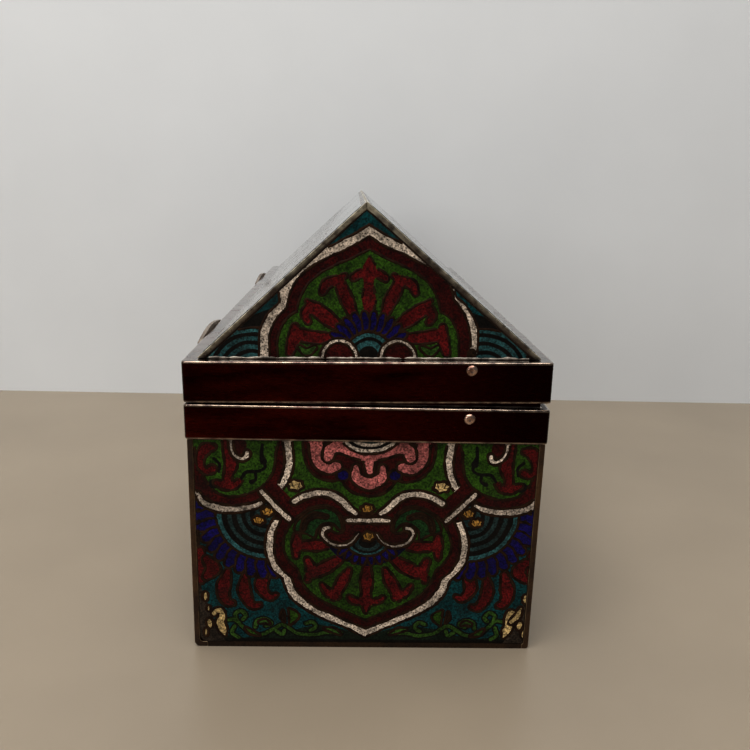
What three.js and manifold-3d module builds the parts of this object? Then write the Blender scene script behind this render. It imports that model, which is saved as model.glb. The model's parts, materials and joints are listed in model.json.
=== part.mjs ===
/**
 * Cloisonné enamel box: a long casket with a roof-shaped lid on two strap hinges.
 *
 * Millimetres, +Z up. The origin is on the ground under the middle of the body.
 * The gable end that faces the viewer looks along -Y, and the lid turns on the -X long side.
 * The body is four enamelled plates round a base plate under a cast rim band. The lid is two
 * enamelled slopes and two gables on a band of its own, and it rests a little ajar.
 */
import * as THREE from "three";
import { mergeVertices } from "three/addons/utils/BufferGeometryUtils.js";
import Module from "manifold-3d";

const manifold = await Module();
manifold.setup();

// ---- driving dimensions -----------------------------------------------------------------

const WIDTH = 110; // over the bands, along X
const LENGTH = 250; // over the bands, along Y
const RIM_FOOT = 71; // underside of the body's rim band
const RIM_TOP = 82; // meeting face of the body's rim band
const LIP_TOP = 84; // top of the low lip that the lid drops over
const LID_FOOT = 82.4; // underside of the lid's band, before it is tilted ajar
const LEDGE_TOP = 95; // flat ledge on which the roof stands
const RIDGE = 141; // top of the roof

const PLATE = 1.7; // thickness of every enamelled plate and of the base
const SOLDER_GAP = 0.1; // the thin solder line left open between two plates
const BAND_PROUD = 0.7; // how far the bands stand out over the body's walls
const PLAQUE_INSET = 0.2; // how far the end plaques lie behind the edges that frame them
const LEDGE_WIDTH = 3.5; // flat margin between the band's edge and the foot of a gable
const HINGE_SIDE_LEDGE = 4.0; // the same margin along the hinge side, where the roof sits in
const OPENING_SIDE_LEDGE = 2.9; // and along the opening side
const RIDGE_X = -0.8; // the hand-made ridge stands a little towards the hinges

const RIM_THICKNESS = 3.8; // body rim band, its lip included
const LIP_INSET = 2.5; // from the band's face to the lip's outer face
const LID_BAND_THICKNESS = 2.1;
const FLANGE_WIDTH = 6.8; // inward flange of the lid's band, under the ledge
const FLANGE_THICKNESS = 1.2;
const BAND_CORNER_RADIUS = 1.3;

const HINGE_SIDE_RADIUS = 4.2; // rounded long bottom edge on the hinge side
const OPENING_SIDE_RADIUS = 2.2; // the sharper long bottom edge opposite

const LID_AJAR = THREE.MathUtils.degToRad(0.85);

const HINGE_STATIONS = [-73, 73]; // middle of each strap hinge along Y
const HINGE_LENGTH = 42;
const LEAF_THICKNESS = 1.2;
const LEAF_FOOT = 72.2; // lower edge of the body's leaf
const LEAF_ARCH = 1.3; // how far the lid's leaf arches above the ledge
const LEAF_CORNER_RADIUS = 2.5;
const KNUCKLE_RADIUS = 2.2;
const KNUCKLE_LENGTH = 13.4; // the middle knuckle, which belongs to the lid
const KNUCKLE_CLEARANCE = 0.3;
const PIN_RADIUS = 1.0;
const PIN_HOLE_RADIUS = 1.15;
const HINGE_AXIS = new THREE.Vector2(-WIDTH / 2 - 2.5, 82.2); // x and z of the pin's centre line

const RIVET_X = 30.5;
const LID_RIVET_Z = LEDGE_TOP - 2.4;
const BODY_RIVET_Z = RIM_TOP - 3.1;
const RIVET_HEAD_RADIUS = 1.7;
const RIVET_HEAD_HEIGHT = 1.0;
const RIVET_SHANK_RADIUS = 0.8;
const RIVET_HOLE_RADIUS = 1.0;
const RIVET_TAIL_RADIUS = 1.05; // the peened inner end clears the flange above it
const RIVET_TAIL_HEIGHT = 0.5;

const ROUND_SIDES = 24;
const CORNER_STEPS = 6;

// ---- materials --------------------------------------------------------------------------

const ENAMEL_PLATE = { color: 0x2c5a3c, roughness: 0.35, metalness: 0.1 };
const DARK_BRONZE = { color: 0x2f1710, roughness: 0.42, metalness: 0.85 };
const BARE_BRONZE = { color: 0x4a3220, roughness: 0.5, metalness: 0.85 };
const WORN_COPPER = { color: 0x9c6344, roughness: 0.35, metalness: 0.95 };

// ---- geometry helpers -------------------------------------------------------------------

const AXIS_X = new THREE.Vector3(1, 0, 0);
const AXIS_Y = new THREE.Vector3(0, 1, 0);
const AXIS_Z = new THREE.Vector3(0, 0, 1);

/** Extrudes an outline in X and Y from one height to another. */
function riseAlongZ(shape, bottom, top) {
  const geometry = new THREE.ExtrudeGeometry(shape, {
    depth: top - bottom, bevelEnabled: false, curveSegments: CORNER_STEPS,
  });
  return geometry.translate(0, 0, bottom);
}

/** Extrudes an outline in X and Z along Y. */
function runAlongY(shape, start, end) {
  const geometry = riseAlongZ(shape, -end, -start);
  return geometry.applyMatrix4(new THREE.Matrix4().makeBasis(AXIS_X, AXIS_Z, AXIS_Y.clone().negate()));
}

/** Extrudes an outline in Y and Z along X. */
function runAlongX(shape, start, end) {
  const geometry = riseAlongZ(shape, start, end);
  return geometry.applyMatrix4(new THREE.Matrix4().makeBasis(AXIS_Y, AXIS_Z, AXIS_X));
}

/** A closed outline through a list of [u, v] corners. */
function polygon(corners) {
  return new THREE.Shape(corners.map(([u, v]) => new THREE.Vector2(u, v)));
}

/** A rectangle centred on the origin with rounded corners, as a closed path. */
function roundedRectangle(halfWidth, halfLength, radius, PathType = THREE.Shape) {
  const path = new PathType();
  const u = halfWidth - radius;
  const v = halfLength - radius;
  path.absarc(u, v, radius, 0, Math.PI / 2);
  path.absarc(-u, v, radius, Math.PI / 2, Math.PI);
  path.absarc(-u, -v, radius, Math.PI, 1.5 * Math.PI);
  path.absarc(u, -v, radius, 1.5 * Math.PI, 2 * Math.PI);
  path.closePath();
  return path;
}

/** A cylinder along Y between two stations. */
function rodAlongY(x, z, radius, start, end) {
  const rod = new THREE.CylinderGeometry(radius, radius, end - start, ROUND_SIDES);
  return rod.translate(x, (start + end) / 2, z);
}

/** Turns a closed three.js geometry into a solid that booleans can work on. */
function toSolid(geometry) {
  const bare = geometry.clone();
  bare.deleteAttribute("normal");
  bare.deleteAttribute("uv");
  const merged = mergeVertices(bare, 1e-4);
  return new manifold.Manifold(new manifold.Mesh({
    numProp: 3,
    vertProperties: new Float32Array(merged.attributes.position.array),
    triVerts: new Uint32Array(merged.index.array),
  }));
}

/** Turns a solid back into a three.js geometry. */
function toGeometry(solid) {
  const mesh = solid.getMesh();
  const geometry = new THREE.BufferGeometry();
  geometry.setAttribute("position", new THREE.BufferAttribute(new Float32Array(mesh.vertProperties), 3));
  geometry.setIndex(new THREE.BufferAttribute(new Uint32Array(mesh.triVerts), 1));
  geometry.computeVertexNormals();
  return geometry;
}

/** Joins the first list of geometries and cuts the second list away. */
function carve(joined, removed = []) {
  const whole = manifold.Manifold.union(joined.map(toSolid));
  const result = removed.reduce((solid, cutter) => solid.subtract(toSolid(cutter)), whole);
  return toGeometry(result);
}

/** A named mesh with a material of its own. */
function piece(name, geometry, finish) {
  const mesh = new THREE.Mesh(geometry, new THREE.MeshStandardMaterial(finish));
  mesh.name = name;
  return mesh;
}

// ---- body -------------------------------------------------------------------------------

const bodyHalfWidth = WIDTH / 2 - BAND_PROUD;
const bodyHalfLength = LENGTH / 2 - BAND_PROUD;
const wallTop = RIM_FOOT - SOLDER_GAP;

/**
 * A long wall: an upright plate whose foot curls under to meet the base.
 * side is -1 on the hinge side and +1 on the opening side.
 */
function longWall(side, footRadius) {
  const centreX = side * (bodyHalfWidth - footRadius);
  const innerRadius = footRadius - PLATE;
  const down = -Math.PI / 2;
  const outward = side > 0 ? 0 : Math.PI;
  const anticlockwise = side > 0;
  const profile = new THREE.Shape();
  profile.moveTo(side * (bodyHalfWidth - PLATE), wallTop);
  profile.lineTo(side * bodyHalfWidth, wallTop);
  profile.absarc(centreX, footRadius, footRadius, outward, down, anticlockwise);
  profile.absarc(centreX, footRadius, innerRadius, down, outward, !anticlockwise);
  profile.closePath();
  return runAlongY(profile, -bodyHalfLength, bodyHalfLength);
}

/** The flat base between the curled feet of the two long walls. */
function basePlate() {
  const left = -bodyHalfWidth + HINGE_SIDE_RADIUS + SOLDER_GAP;
  const right = bodyHalfWidth - OPENING_SIDE_RADIUS - SOLDER_GAP;
  const section = polygon([[left, 0], [right, 0], [right, PLATE], [left, PLATE]]);
  return runAlongY(section, -bodyHalfLength, bodyHalfLength);
}

/** An end plaque, cut to the inside of the long walls. end is -1 at the front, +1 at the back. */
function endPlaque(end) {
  const half = bodyHalfWidth - PLATE - SOLDER_GAP;
  const foot = PLATE + SOLDER_GAP;
  const hingeRadius = HINGE_SIDE_RADIUS - PLATE - SOLDER_GAP;
  const openingRadius = OPENING_SIDE_RADIUS - PLATE - SOLDER_GAP;
  const outline = new THREE.Shape();
  outline.absarc(-half + hingeRadius, foot + hingeRadius, hingeRadius, Math.PI, 1.5 * Math.PI);
  outline.absarc(half - openingRadius, foot + openingRadius, openingRadius, 1.5 * Math.PI, 2 * Math.PI);
  outline.lineTo(half, wallTop);
  outline.lineTo(-half, wallTop);
  outline.closePath();
  const outer = end * (bodyHalfLength - PLAQUE_INSET);
  const inner = outer - end * PLATE;
  return runAlongY(outline, Math.min(outer, inner), Math.max(outer, inner));
}

/** A closed band with rounded corners: outer and inner faces set in from the widest outline. */
function ring(outerInset, innerInset, bottom, top) {
  const outline = roundedRectangle(WIDTH / 2 - outerInset, LENGTH / 2 - outerInset, BAND_CORNER_RADIUS);
  outline.holes.push(
    roundedRectangle(WIDTH / 2 - innerInset, LENGTH / 2 - innerInset, BAND_CORNER_RADIUS, THREE.Path),
  );
  return riseAlongZ(outline, bottom, top);
}

/** The hole for a rivet through the front of a band. */
function rivetHole(z) {
  const front = -LENGTH / 2;
  return rodAlongY(RIVET_X, z, RIVET_HOLE_RADIUS, front - 1, front + RIM_THICKNESS + 1);
}

/** The body's rim band with the low lip that locates the lid. */
function rimBand() {
  const band = ring(0, RIM_THICKNESS, RIM_FOOT, RIM_TOP);
  const lip = ring(LIP_INSET, RIM_THICKNESS, RIM_FOOT, LIP_TOP);
  return carve([band, lip], [rivetHole(BODY_RIVET_Z)]);
}

/** A rivet through the front of a band: domed head, shank and peened inner tail. */
function rivet(z, bandThickness) {
  const face = -SOLDER_GAP;
  const back = bandThickness + SOLDER_GAP;
  const domeSteps = 5;
  const profile = [new THREE.Vector2(0, face - RIVET_HEAD_HEIGHT)];
  for (let step = 1; step <= domeSteps; step += 1) {
    const angle = (step / domeSteps) * (Math.PI / 2);
    const radius = RIVET_HEAD_RADIUS * Math.sin(angle);
    profile.push(new THREE.Vector2(radius, face - RIVET_HEAD_HEIGHT * Math.cos(angle)));
  }
  profile.push(new THREE.Vector2(RIVET_SHANK_RADIUS, face));
  profile.push(new THREE.Vector2(RIVET_SHANK_RADIUS, back));
  profile.push(new THREE.Vector2(RIVET_TAIL_RADIUS, back));
  profile.push(new THREE.Vector2(RIVET_TAIL_RADIUS, back + RIVET_TAIL_HEIGHT));
  profile.push(new THREE.Vector2(0, back + RIVET_TAIL_HEIGHT));
  return new THREE.LatheGeometry(profile, ROUND_SIDES).translate(RIVET_X, -LENGTH / 2, z);
}

// ---- hinges -----------------------------------------------------------------------------

const leafBack = -WIDTH / 2 - SOLDER_GAP;
const leafFace = leafBack - LEAF_THICKNESS;
const middleKnuckleEnd = KNUCKLE_LENGTH / 2;
const outerKnuckleStart = middleKnuckleEnd + KNUCKLE_CLEARANCE;

/** A stretch of the hinge barrel at a given radius. */
function barrel(radius, start, end) {
  return rodAlongY(HINGE_AXIS.x, HINGE_AXIS.y, radius, start, end);
}

/** The body's leaf: a plate with rounded lower corners and the two outer knuckles. */
function bodyLeaf() {
  const half = HINGE_LENGTH / 2;
  const radius = LEAF_CORNER_RADIUS;
  const outline = new THREE.Shape();
  outline.absarc(-half + radius, LEAF_FOOT + radius, radius, Math.PI, 1.5 * Math.PI);
  outline.absarc(half - radius, LEAF_FOOT + radius, radius, 1.5 * Math.PI, 2 * Math.PI);
  outline.lineTo(half, HINGE_AXIS.y);
  outline.lineTo(-half, HINGE_AXIS.y);
  outline.closePath();
  const swing = KNUCKLE_RADIUS + KNUCKLE_CLEARANCE;
  return carve(
    [
      runAlongX(outline, leafFace, leafBack),
      barrel(KNUCKLE_RADIUS, -half, -outerKnuckleStart),
      barrel(KNUCKLE_RADIUS, outerKnuckleStart, half),
    ],
    [barrel(swing, -outerKnuckleStart, outerKnuckleStart), barrel(PIN_HOLE_RADIUS, -half - 1, half + 1)],
  );
}

/** The lid's leaf: a plate whose top arches above the ledge, and the middle knuckle. */
function lidLeaf() {
  const half = HINGE_LENGTH / 2;
  const archSteps = 12;
  const outline = new THREE.Shape();
  outline.moveTo(-half, HINGE_AXIS.y);
  outline.lineTo(half, HINGE_AXIS.y);
  for (let step = 0; step <= archSteps; step += 1) {
    const across = 1 - (2 * step) / archSteps;
    const height = LEDGE_TOP - 1 + (LEAF_ARCH + 1) * Math.cos((across * Math.PI) / 2);
    outline.lineTo(across * half, height);
  }
  outline.closePath();
  const swing = KNUCKLE_RADIUS + KNUCKLE_CLEARANCE;
  return carve(
    [runAlongX(outline, leafFace, leafBack), barrel(KNUCKLE_RADIUS, -middleKnuckleEnd, middleKnuckleEnd)],
    [
      barrel(swing, -half - 1, -middleKnuckleEnd),
      barrel(swing, middleKnuckleEnd, half + 1),
      barrel(PIN_HOLE_RADIUS, -half - 1, half + 1),
    ],
  );
}

/** The pin that the three knuckles turn on. */
function hingePin() {
  return barrel(PIN_RADIUS, -HINGE_LENGTH / 2, HINGE_LENGTH / 2);
}

// ---- lid --------------------------------------------------------------------------------

const roofHalfLength = LENGTH / 2 - LEDGE_WIDTH;
const roofFoot = LEDGE_TOP + SOLDER_GAP;
const hingeSideFoot = -WIDTH / 2 + HINGE_SIDE_LEDGE;
const openingSideFoot = WIDTH / 2 - OPENING_SIDE_LEDGE;

/** The angle of a slope that runs from its foot up to the ridge. */
function slopeAngle(footX) {
  return Math.atan2(RIDGE - roofFoot, Math.abs(footX - RIDGE_X));
}

/** The lid's band: an upright skirt with an inward flange that forms the ledge. */
function lidBand() {
  const skirt = ring(0, LID_BAND_THICKNESS, LID_FOOT, LEDGE_TOP);
  const flange = ring(0, FLANGE_WIDTH, LEDGE_TOP - FLANGE_THICKNESS, LEDGE_TOP);
  return carve([skirt, flange], [rivetHole(LID_RIVET_Z)]);
}

/** A roof slope from its foot to the ridge, where it is mitred upright. */
function roofSlope(footX) {
  const side = Math.sign(footX);
  const angle = slopeAngle(footX);
  const mitre = SOLDER_GAP / 2;
  const ridgeTop = RIDGE - mitre * Math.tan(angle);
  const corners = [
    [footX, roofFoot],
    [RIDGE_X + side * mitre, ridgeTop],
    [RIDGE_X + side * mitre, ridgeTop - PLATE / Math.cos(angle)],
    [footX - (side * PLATE) / Math.sin(angle), roofFoot],
  ];
  return runAlongY(polygon(corners), -roofHalfLength, roofHalfLength);
}

/** A triangular gable set between the slopes. end is -1 at the front, +1 at the back. */
function gable(end) {
  const setback = PLATE + SOLDER_GAP;
  const [hingeAngle, openingAngle] = [hingeSideFoot, openingSideFoot].map(slopeAngle);
  const hingeFoot = hingeSideFoot + setback / Math.sin(hingeAngle);
  const openingFoot = openingSideFoot - setback / Math.sin(openingAngle);
  const hingeRise = Math.tan(hingeAngle);
  const openingRise = Math.tan(openingAngle);
  const topX = (hingeRise * hingeFoot + openingRise * openingFoot) / (hingeRise + openingRise);
  const topZ = roofFoot + (topX - hingeFoot) * hingeRise;
  const outer = end * (roofHalfLength - PLAQUE_INSET);
  const inner = outer - end * PLATE;
  const triangle = polygon([[hingeFoot, roofFoot], [openingFoot, roofFoot], [topX, topZ]]);
  return runAlongY(triangle, Math.min(outer, inner), Math.max(outer, inner));
}

// ---- assembly ---------------------------------------------------------------------------

/** Builds the box body with everything that stays still when the lid turns. */
function buildBody() {
  const body = new THREE.Group();
  body.add(
    piece("base_plate", basePlate(), BARE_BRONZE),
    piece("body_left_wall", longWall(-1, HINGE_SIDE_RADIUS), ENAMEL_PLATE),
    piece("body_right_wall", longWall(1, OPENING_SIDE_RADIUS), ENAMEL_PLATE),
    piece("body_front_plaque", endPlaque(-1), ENAMEL_PLATE),
    piece("body_back_plaque", endPlaque(1), ENAMEL_PLATE),
    piece("body_rim_band", rimBand(), DARK_BRONZE),
    piece("body_rivet", rivet(BODY_RIVET_Z, RIM_THICKNESS), WORN_COPPER),
  );
  return body;
}

/** Builds the lid closed flat, before it is tilted ajar. */
function buildLid() {
  const lid = new THREE.Group();
  lid.add(
    piece("lid_rim_band", lidBand(), DARK_BRONZE),
    piece("lid_left_slope", roofSlope(hingeSideFoot), ENAMEL_PLATE),
    piece("lid_right_slope", roofSlope(openingSideFoot), ENAMEL_PLATE),
    piece("lid_front_gable", gable(-1), ENAMEL_PLATE),
    piece("lid_back_gable", gable(1), ENAMEL_PLATE),
    piece("lid_rivet", rivet(LID_RIVET_Z, LID_BAND_THICKNESS), WORN_COPPER),
  );
  return lid;
}

const body = buildBody();
const lid = buildLid();

HINGE_STATIONS.forEach((station, index) => {
  const prefix = index === 0 ? "front_hinge" : "back_hinge";
  const fixedLeaf = piece(`${prefix}_body_leaf`, bodyLeaf(), BARE_BRONZE);
  const movingLeaf = piece(`${prefix}_lid_leaf`, lidLeaf(), BARE_BRONZE);
  const pin = piece(`${prefix}_pin`, hingePin(), BARE_BRONZE);
  [fixedLeaf, movingLeaf, pin].forEach((mesh) => {
    mesh.position.y = station;
  });
  body.add(fixedLeaf, pin);
  lid.add(movingLeaf);
});

/** Tilts a group about the hinge axis so that its +X side rises. */
function tiltAboutHinge(group, angle) {
  const pivot = new THREE.Vector3(HINGE_AXIS.x, 0, HINGE_AXIS.y);
  const turn = new THREE.Quaternion().setFromAxisAngle(AXIS_Y, -angle);
  group.quaternion.copy(turn);
  group.position.copy(pivot).sub(pivot.clone().applyQuaternion(turn));
}

tiltAboutHinge(lid, LID_AJAR);

const box = new THREE.Group();
box.add(body, lid);
export default box;
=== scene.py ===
"""A cloisonné enamel box with a roof-shaped lid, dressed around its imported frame.

Enamel fields are flat mosaics of glass cells with raised bronze wires between them. The plates,
bands, rivets and hinges are aged bronze. Outlines are in millimetres on the face that they
belong to: across is measured to the right as the face is looked at, and up is measured from the
ground, or along the slope on the roof.
"""

import json
import logging
from dataclasses import dataclass, field
from enum import Enum

import bmesh
import bpy
import numpy as np
from mathutils import Matrix, Vector
from mathutils.geometry import delaunay_2d_cdt


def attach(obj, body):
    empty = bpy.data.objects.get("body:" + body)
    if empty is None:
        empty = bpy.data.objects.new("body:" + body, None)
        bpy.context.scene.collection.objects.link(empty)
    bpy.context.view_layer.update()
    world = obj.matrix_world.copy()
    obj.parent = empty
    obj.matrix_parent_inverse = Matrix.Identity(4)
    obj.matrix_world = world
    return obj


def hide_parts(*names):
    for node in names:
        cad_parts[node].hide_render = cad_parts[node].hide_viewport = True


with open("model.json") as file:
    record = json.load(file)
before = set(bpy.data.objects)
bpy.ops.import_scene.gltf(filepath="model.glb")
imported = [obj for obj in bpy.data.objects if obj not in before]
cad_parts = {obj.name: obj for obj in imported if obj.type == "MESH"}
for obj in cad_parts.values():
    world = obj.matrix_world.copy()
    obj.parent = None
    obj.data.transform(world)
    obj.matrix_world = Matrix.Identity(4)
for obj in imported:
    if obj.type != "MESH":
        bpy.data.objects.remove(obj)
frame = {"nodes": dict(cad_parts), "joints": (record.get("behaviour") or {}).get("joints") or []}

LOG = logging.getLogger("enamel_box")
Array = np.ndarray
Point = tuple[float, float]
Material = bpy.types.Material
Mesh = bpy.types.Mesh
Object = bpy.types.Object
Socket = bpy.types.NodeSocket
Value = Socket | float | tuple  # what an input of a node takes
MM = 0.001

PLATE = 1.7  # thickness of the enamelled plates
LID_AJAR = np.radians(0.85)  # how far the closed lid is tilted up about its hinges
OUTLINE_STEP = 0.5  # spacing of the points along an outline
BAYS = (-80.5, 0.0, 80.5)  # middles of the medallions along a long face
FLIP = np.array([-1.0, 1.0])  # turns an outline over, left for right
UPRIGHT = (0.0, 0.0, 1.0)  # the up of every face but the roof's slopes
TINY = 1e-9  # keeps a direction of no length from dividing by nothing


# ---- places ----


@dataclass(frozen=True)
class Extent:
    """The lowest and highest corner of a frame node, in millimetres."""

    low: Array
    high: Array

    @classmethod
    def of_node(cls, node: str, tilt: float = 0.0) -> "Extent":
        """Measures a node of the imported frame.

        Args:
            node: the node's name.
            tilt: the angle that is taken off first, for a node of the lid.

        Returns:
            The node's extent, with the lid closed flat where a tilt is given.
        """
        mesh = frame["nodes"][node].data
        points = np.empty(len(mesh.vertices) * 3)
        mesh.vertices.foreach_get("co", points)
        level = turn_about_hinge(points.reshape(-1, 3) / MM, -tilt)
        return cls(level.min(axis=0), level.max(axis=0))


def hinge_axis() -> Array:
    """The hinge pin's x and z, from the frame's own joint."""
    x, _, z = frame["joints"][0]["pos_m"]
    return np.array([x, z]) / MM


def turn_about_hinge(points: Array, angle: float) -> Array:
    """Turns points in millimetres about the hinge pin, so that a positive angle lifts +X.

    Args:
        points: (n, 3) millimetres.
        angle: radians.

    Returns:
        The turned points.
    """
    if angle == 0.0:
        return points
    pin_x, pin_z = hinge_axis()
    x = points[:, 0] - pin_x
    z = points[:, 2] - pin_z
    turned = points.copy()
    turned[:, 0] = pin_x + x * np.cos(angle) - z * np.sin(angle)
    turned[:, 2] = pin_z + x * np.sin(angle) + z * np.cos(angle)
    return turned


def lay(grid: Array, tilt: float) -> Array:
    """A grid of points in millimetres, tilted about the hinge pin and given in metres."""
    return turn_about_hinge(grid.reshape(-1, 3), tilt).reshape(grid.shape) * MM


@dataclass(frozen=True)
class Placement:
    """The plane of an enamelled face: a point on it, its right, its up and the lid's tilt."""

    origin: tuple[float, float, float]
    across: tuple[float, float, float]
    up: tuple[float, float, float]
    tilt: float = 0.0

    def place(self, flat: Array, height: Array | float) -> Array:
        """Carries points of the face into space.

        Args:
            flat: (n, 2) millimetres across and up the face.
            height: millimetres that each point stands out of the face.

        Returns:
            (n, 3) metres in the frame.
        """
        right = np.array(self.across)
        rise = np.array(self.up)
        outward = np.cross(right, rise)
        heights = np.broadcast_to(height, len(flat))
        points = np.array(self.origin) + flat[:, :1] * right + flat[:, 1:] * rise
        points = points + heights[:, None] * outward
        return lay(points, self.tilt)


# ---- outlines ----


def resample(line: Array, step: float = OUTLINE_STEP) -> Array:
    """Spaces points evenly along a line by its running length, and keeps both ends.

    Args:
        line: the points of an open line.
        step: the widest spacing.

    Returns:
        The evenly spaced points.
    """
    run = np.concatenate([[0.0], np.cumsum(np.hypot(*np.diff(line, axis=0).T))])
    count = max(2, int(np.ceil(run[-1] / step)) + 1)
    where = np.linspace(0.0, run[-1], count)
    return np.column_stack([np.interp(where, run, line[:, k]) for k in (0, 1)])


def cubic_through(before: Array, here: Array, there: Array, after: Array) -> Array:
    """Points along cubics from each here to its there.

    The slope at either end of a cubic is half the way between that end's two neighbours.

    Args:
        before: the knot before each start.
        here: the knots that cubics start from.
        there: the knots that they end at.
        after: the knot after each end.

    Returns:
        The points of all the cubics in a row.
    """
    t = np.linspace(0.0, 1.0, 12, endpoint=False)[:, None, None]
    cubic = 3 * here - before - 3 * there + after
    square = 2 * before - 5 * here + 4 * there - after
    line = here + 0.5 * ((there - before) * t + square * t**2 + cubic * t**3)
    return np.swapaxes(line, 0, 1).reshape(-1, 2)


def smooth(points: list[Point]) -> Array:
    """Carries a smooth line through a few points, from the first to the last.

    Args:
        points: the knots in order.

    Returns:
        Evenly spaced points.
    """
    knots = np.asarray(points, float)
    knots = np.vstack([2 * knots[0] - knots[1], knots, 2 * knots[-1] - knots[-2]])
    line = cubic_through(knots[:-3], knots[1:-2], knots[2:-1], knots[3:])
    return resample(np.vstack([line, knots[-2]]))


def closed(points: list[Point]) -> Array:
    """Carries a smooth closed outline through a few points.

    Args:
        points: the knots in order, the first not repeated.

    Returns:
        Evenly spaced points.
    """
    knots = np.asarray(points, float)
    turns = [np.roll(knots, shift, axis=0) for shift in (1, 0, -1, -2)]
    line = cubic_through(*turns)
    return resample(np.vstack([line, line[:1]]))[:-1]


def chain(*runs: Array) -> Array:
    """Joins runs into one closed outline, with a corner wherever two of them meet."""
    joined = np.vstack(runs)
    gap = np.hypot(*(joined - np.roll(joined, 1, axis=0)).T)
    return joined[gap > 1e-6]


def polygon(points: list[Point]) -> Array:
    """A straight-sided outline with evenly spaced points along its sides."""
    corners = np.asarray(points, float)
    ends = np.roll(corners, -1, axis=0)
    return chain(*[resample(np.vstack(pair))[:-1] for pair in zip(corners, ends)])


def ellipse(centre: Point, across: float, up: float | None = None) -> Array:
    """An ellipse, or a circle where up is left out.

    Args:
        centre: its middle.
        across: half its width.
        up: half its height.

    Returns:
        The closed outline.
    """
    tall = across if up is None else up
    count = max(12, int(2 * np.pi * max(across, tall) / OUTLINE_STEP))
    angle = np.linspace(0.0, 2 * np.pi, count, endpoint=False)
    return np.array(centre) + np.column_stack([across * np.cos(angle), tall * np.sin(angle)])


def rosette(centre: Point, size: float, lobes: int = 6, squash: float = 0.75) -> Array:
    """A flower outline: a flattened circle whose radius swells a little for each petal.

    Args:
        centre: its middle.
        size: its radius.
        lobes: how many petals it has.
        squash: its height as a share of its width.

    Returns:
        The closed outline.
    """
    angle = np.linspace(0.0, 2 * np.pi, 12 * lobes, endpoint=False)
    radius = size * (0.91 + 0.09 * np.cos(lobes * angle + np.pi / 2))
    way = np.column_stack([np.cos(angle), squash * np.sin(angle)])
    return np.array(centre) + radius[:, None] * way


def unit(directions: Array) -> Array:
    """Directions of length one."""
    return directions / (np.hypot(*directions.T)[:, None] + TINY)


def leftward(ahead: Array) -> Array:
    """The directions a quarter turn to the left of a run of directions."""
    return np.column_stack([-ahead[:, 1], ahead[:, 0]])


def cusped(runs: list[list[Point]]) -> Array:
    """A line of several smooth runs, with a cusp wherever two of them meet."""
    return np.vstack([smooth(run) for run in runs])


def turned_over(outline: Array, axis: float) -> Array:
    """An outline reflected in an upright line."""
    return outline * FLIP + [2 * axis, 0.0]


def symmetric(runs: list[list[Point]], axis: float) -> Array:
    """A closed outline from the smooth runs of its left half and their reflection."""
    left = cusped(runs)
    return chain(left, turned_over(left, axis)[::-1])


def stroke(spine: list[Point], widths: list[float]) -> Array:
    """A brush stroke: a smooth spine with a half width at each of its points and round ends.

    Args:
        spine: the knots of the spine.
        widths: the half width at each knot.

    Returns:
        The closed outline.
    """
    knots = np.asarray(spine, float)
    line = smooth(knots)
    reach = np.concatenate([[0.0], np.cumsum(np.hypot(*np.diff(knots, axis=0).T))])
    half = np.interp(np.linspace(0.0, reach[-1], len(line)), reach, widths)[:, None]
    tangent = unit(np.gradient(line, axis=0))
    normal = leftward(tangent)
    turn = np.linspace(0.0, np.pi, 7)[1:-1, None]
    far = line[-1] + half[-1] * (normal[-1] * np.cos(turn) + tangent[-1] * np.sin(turn))
    near = line[0] - half[0] * (normal[0] * np.cos(turn) + tangent[0] * np.sin(turn))
    return np.vstack([line + normal * half, far, (line - normal * half)[::-1], near])


def inside(points: Array, outline: Array) -> Array:
    """Which points an outline winds around, by counting its signed crossings of a level ray.

    Args:
        points: the points to test.
        outline: a closed outline.

    Returns:
        True for each point that is inside.
    """
    found = np.zeros(len(points), bool)
    low = outline.min(axis=0)
    high = outline.max(axis=0)
    near = np.flatnonzero(((points > low) & (points < high)).all(axis=1))
    if len(near) == 0:
        return found
    x, y = points[near].T[:, :, None]
    start = outline
    end = np.roll(outline, -1, axis=0)
    side = (end[:, 0] - start[:, 0]) * (y - start[:, 1]) - (x - start[:, 0]) * (
        end[:, 1] - start[:, 1]
    )
    rising = (start[:, 1] <= y) & (end[:, 1] > y) & (side > 0)
    falling = (start[:, 1] > y) & (end[:, 1] <= y) & (side < 0)
    found[near] = rising.sum(axis=1) != falling.sum(axis=1)
    return found


# ---- enamels and metals ----


@dataclass(frozen=True)
class Tint:
    """A glass colour, in linear light, and how much of it is pitted."""

    colour: tuple[float, float, float]
    pits: float = 0.12


class Enamel(Enum):
    """The glasses that the cells are filled with."""

    WHITE = Tint((0.50, 0.415, 0.33), 1.0)
    MAROON = Tint((0.040, 0.0029, 0.0023), 0.25)
    RUBY = Tint((0.088, 0.0050, 0.0050), 0.35)
    GREEN = Tint((0.026, 0.066, 0.0050), 0.5)
    MOSS = Tint((0.011, 0.042, 0.010), 0.6)
    PINE = Tint((0.006, 0.012, 0.006), 0.6)
    BROWN = Tint((0.022, 0.010, 0.004), 0.3)
    BARE = Tint((0.036, 0.025, 0.017), 0.7)
    COBALT = Tint((0.007, 0.0035, 0.075), 0.35)
    MIDNIGHT = Tint((0.004, 0.0022, 0.024), 0.35)
    TEAL = Tint((0.0030, 0.040, 0.042), 0.45)
    TURQUOISE = Tint((0.028, 0.092, 0.092), 0.7)
    SAGE = Tint((0.017, 0.036, 0.034), 0.7)
    PINK = Tint((0.42, 0.135, 0.120), 0.75)
    CREAM = Tint((0.46, 0.33, 0.15), 0.7)
    OCHRE = Tint((0.34, 0.18, 0.040), 0.7)
    OLIVE = Tint((0.030, 0.070, 0.010), 0.4)
    INK = Tint((0.005, 0.004, 0.003), 0.1)


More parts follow.
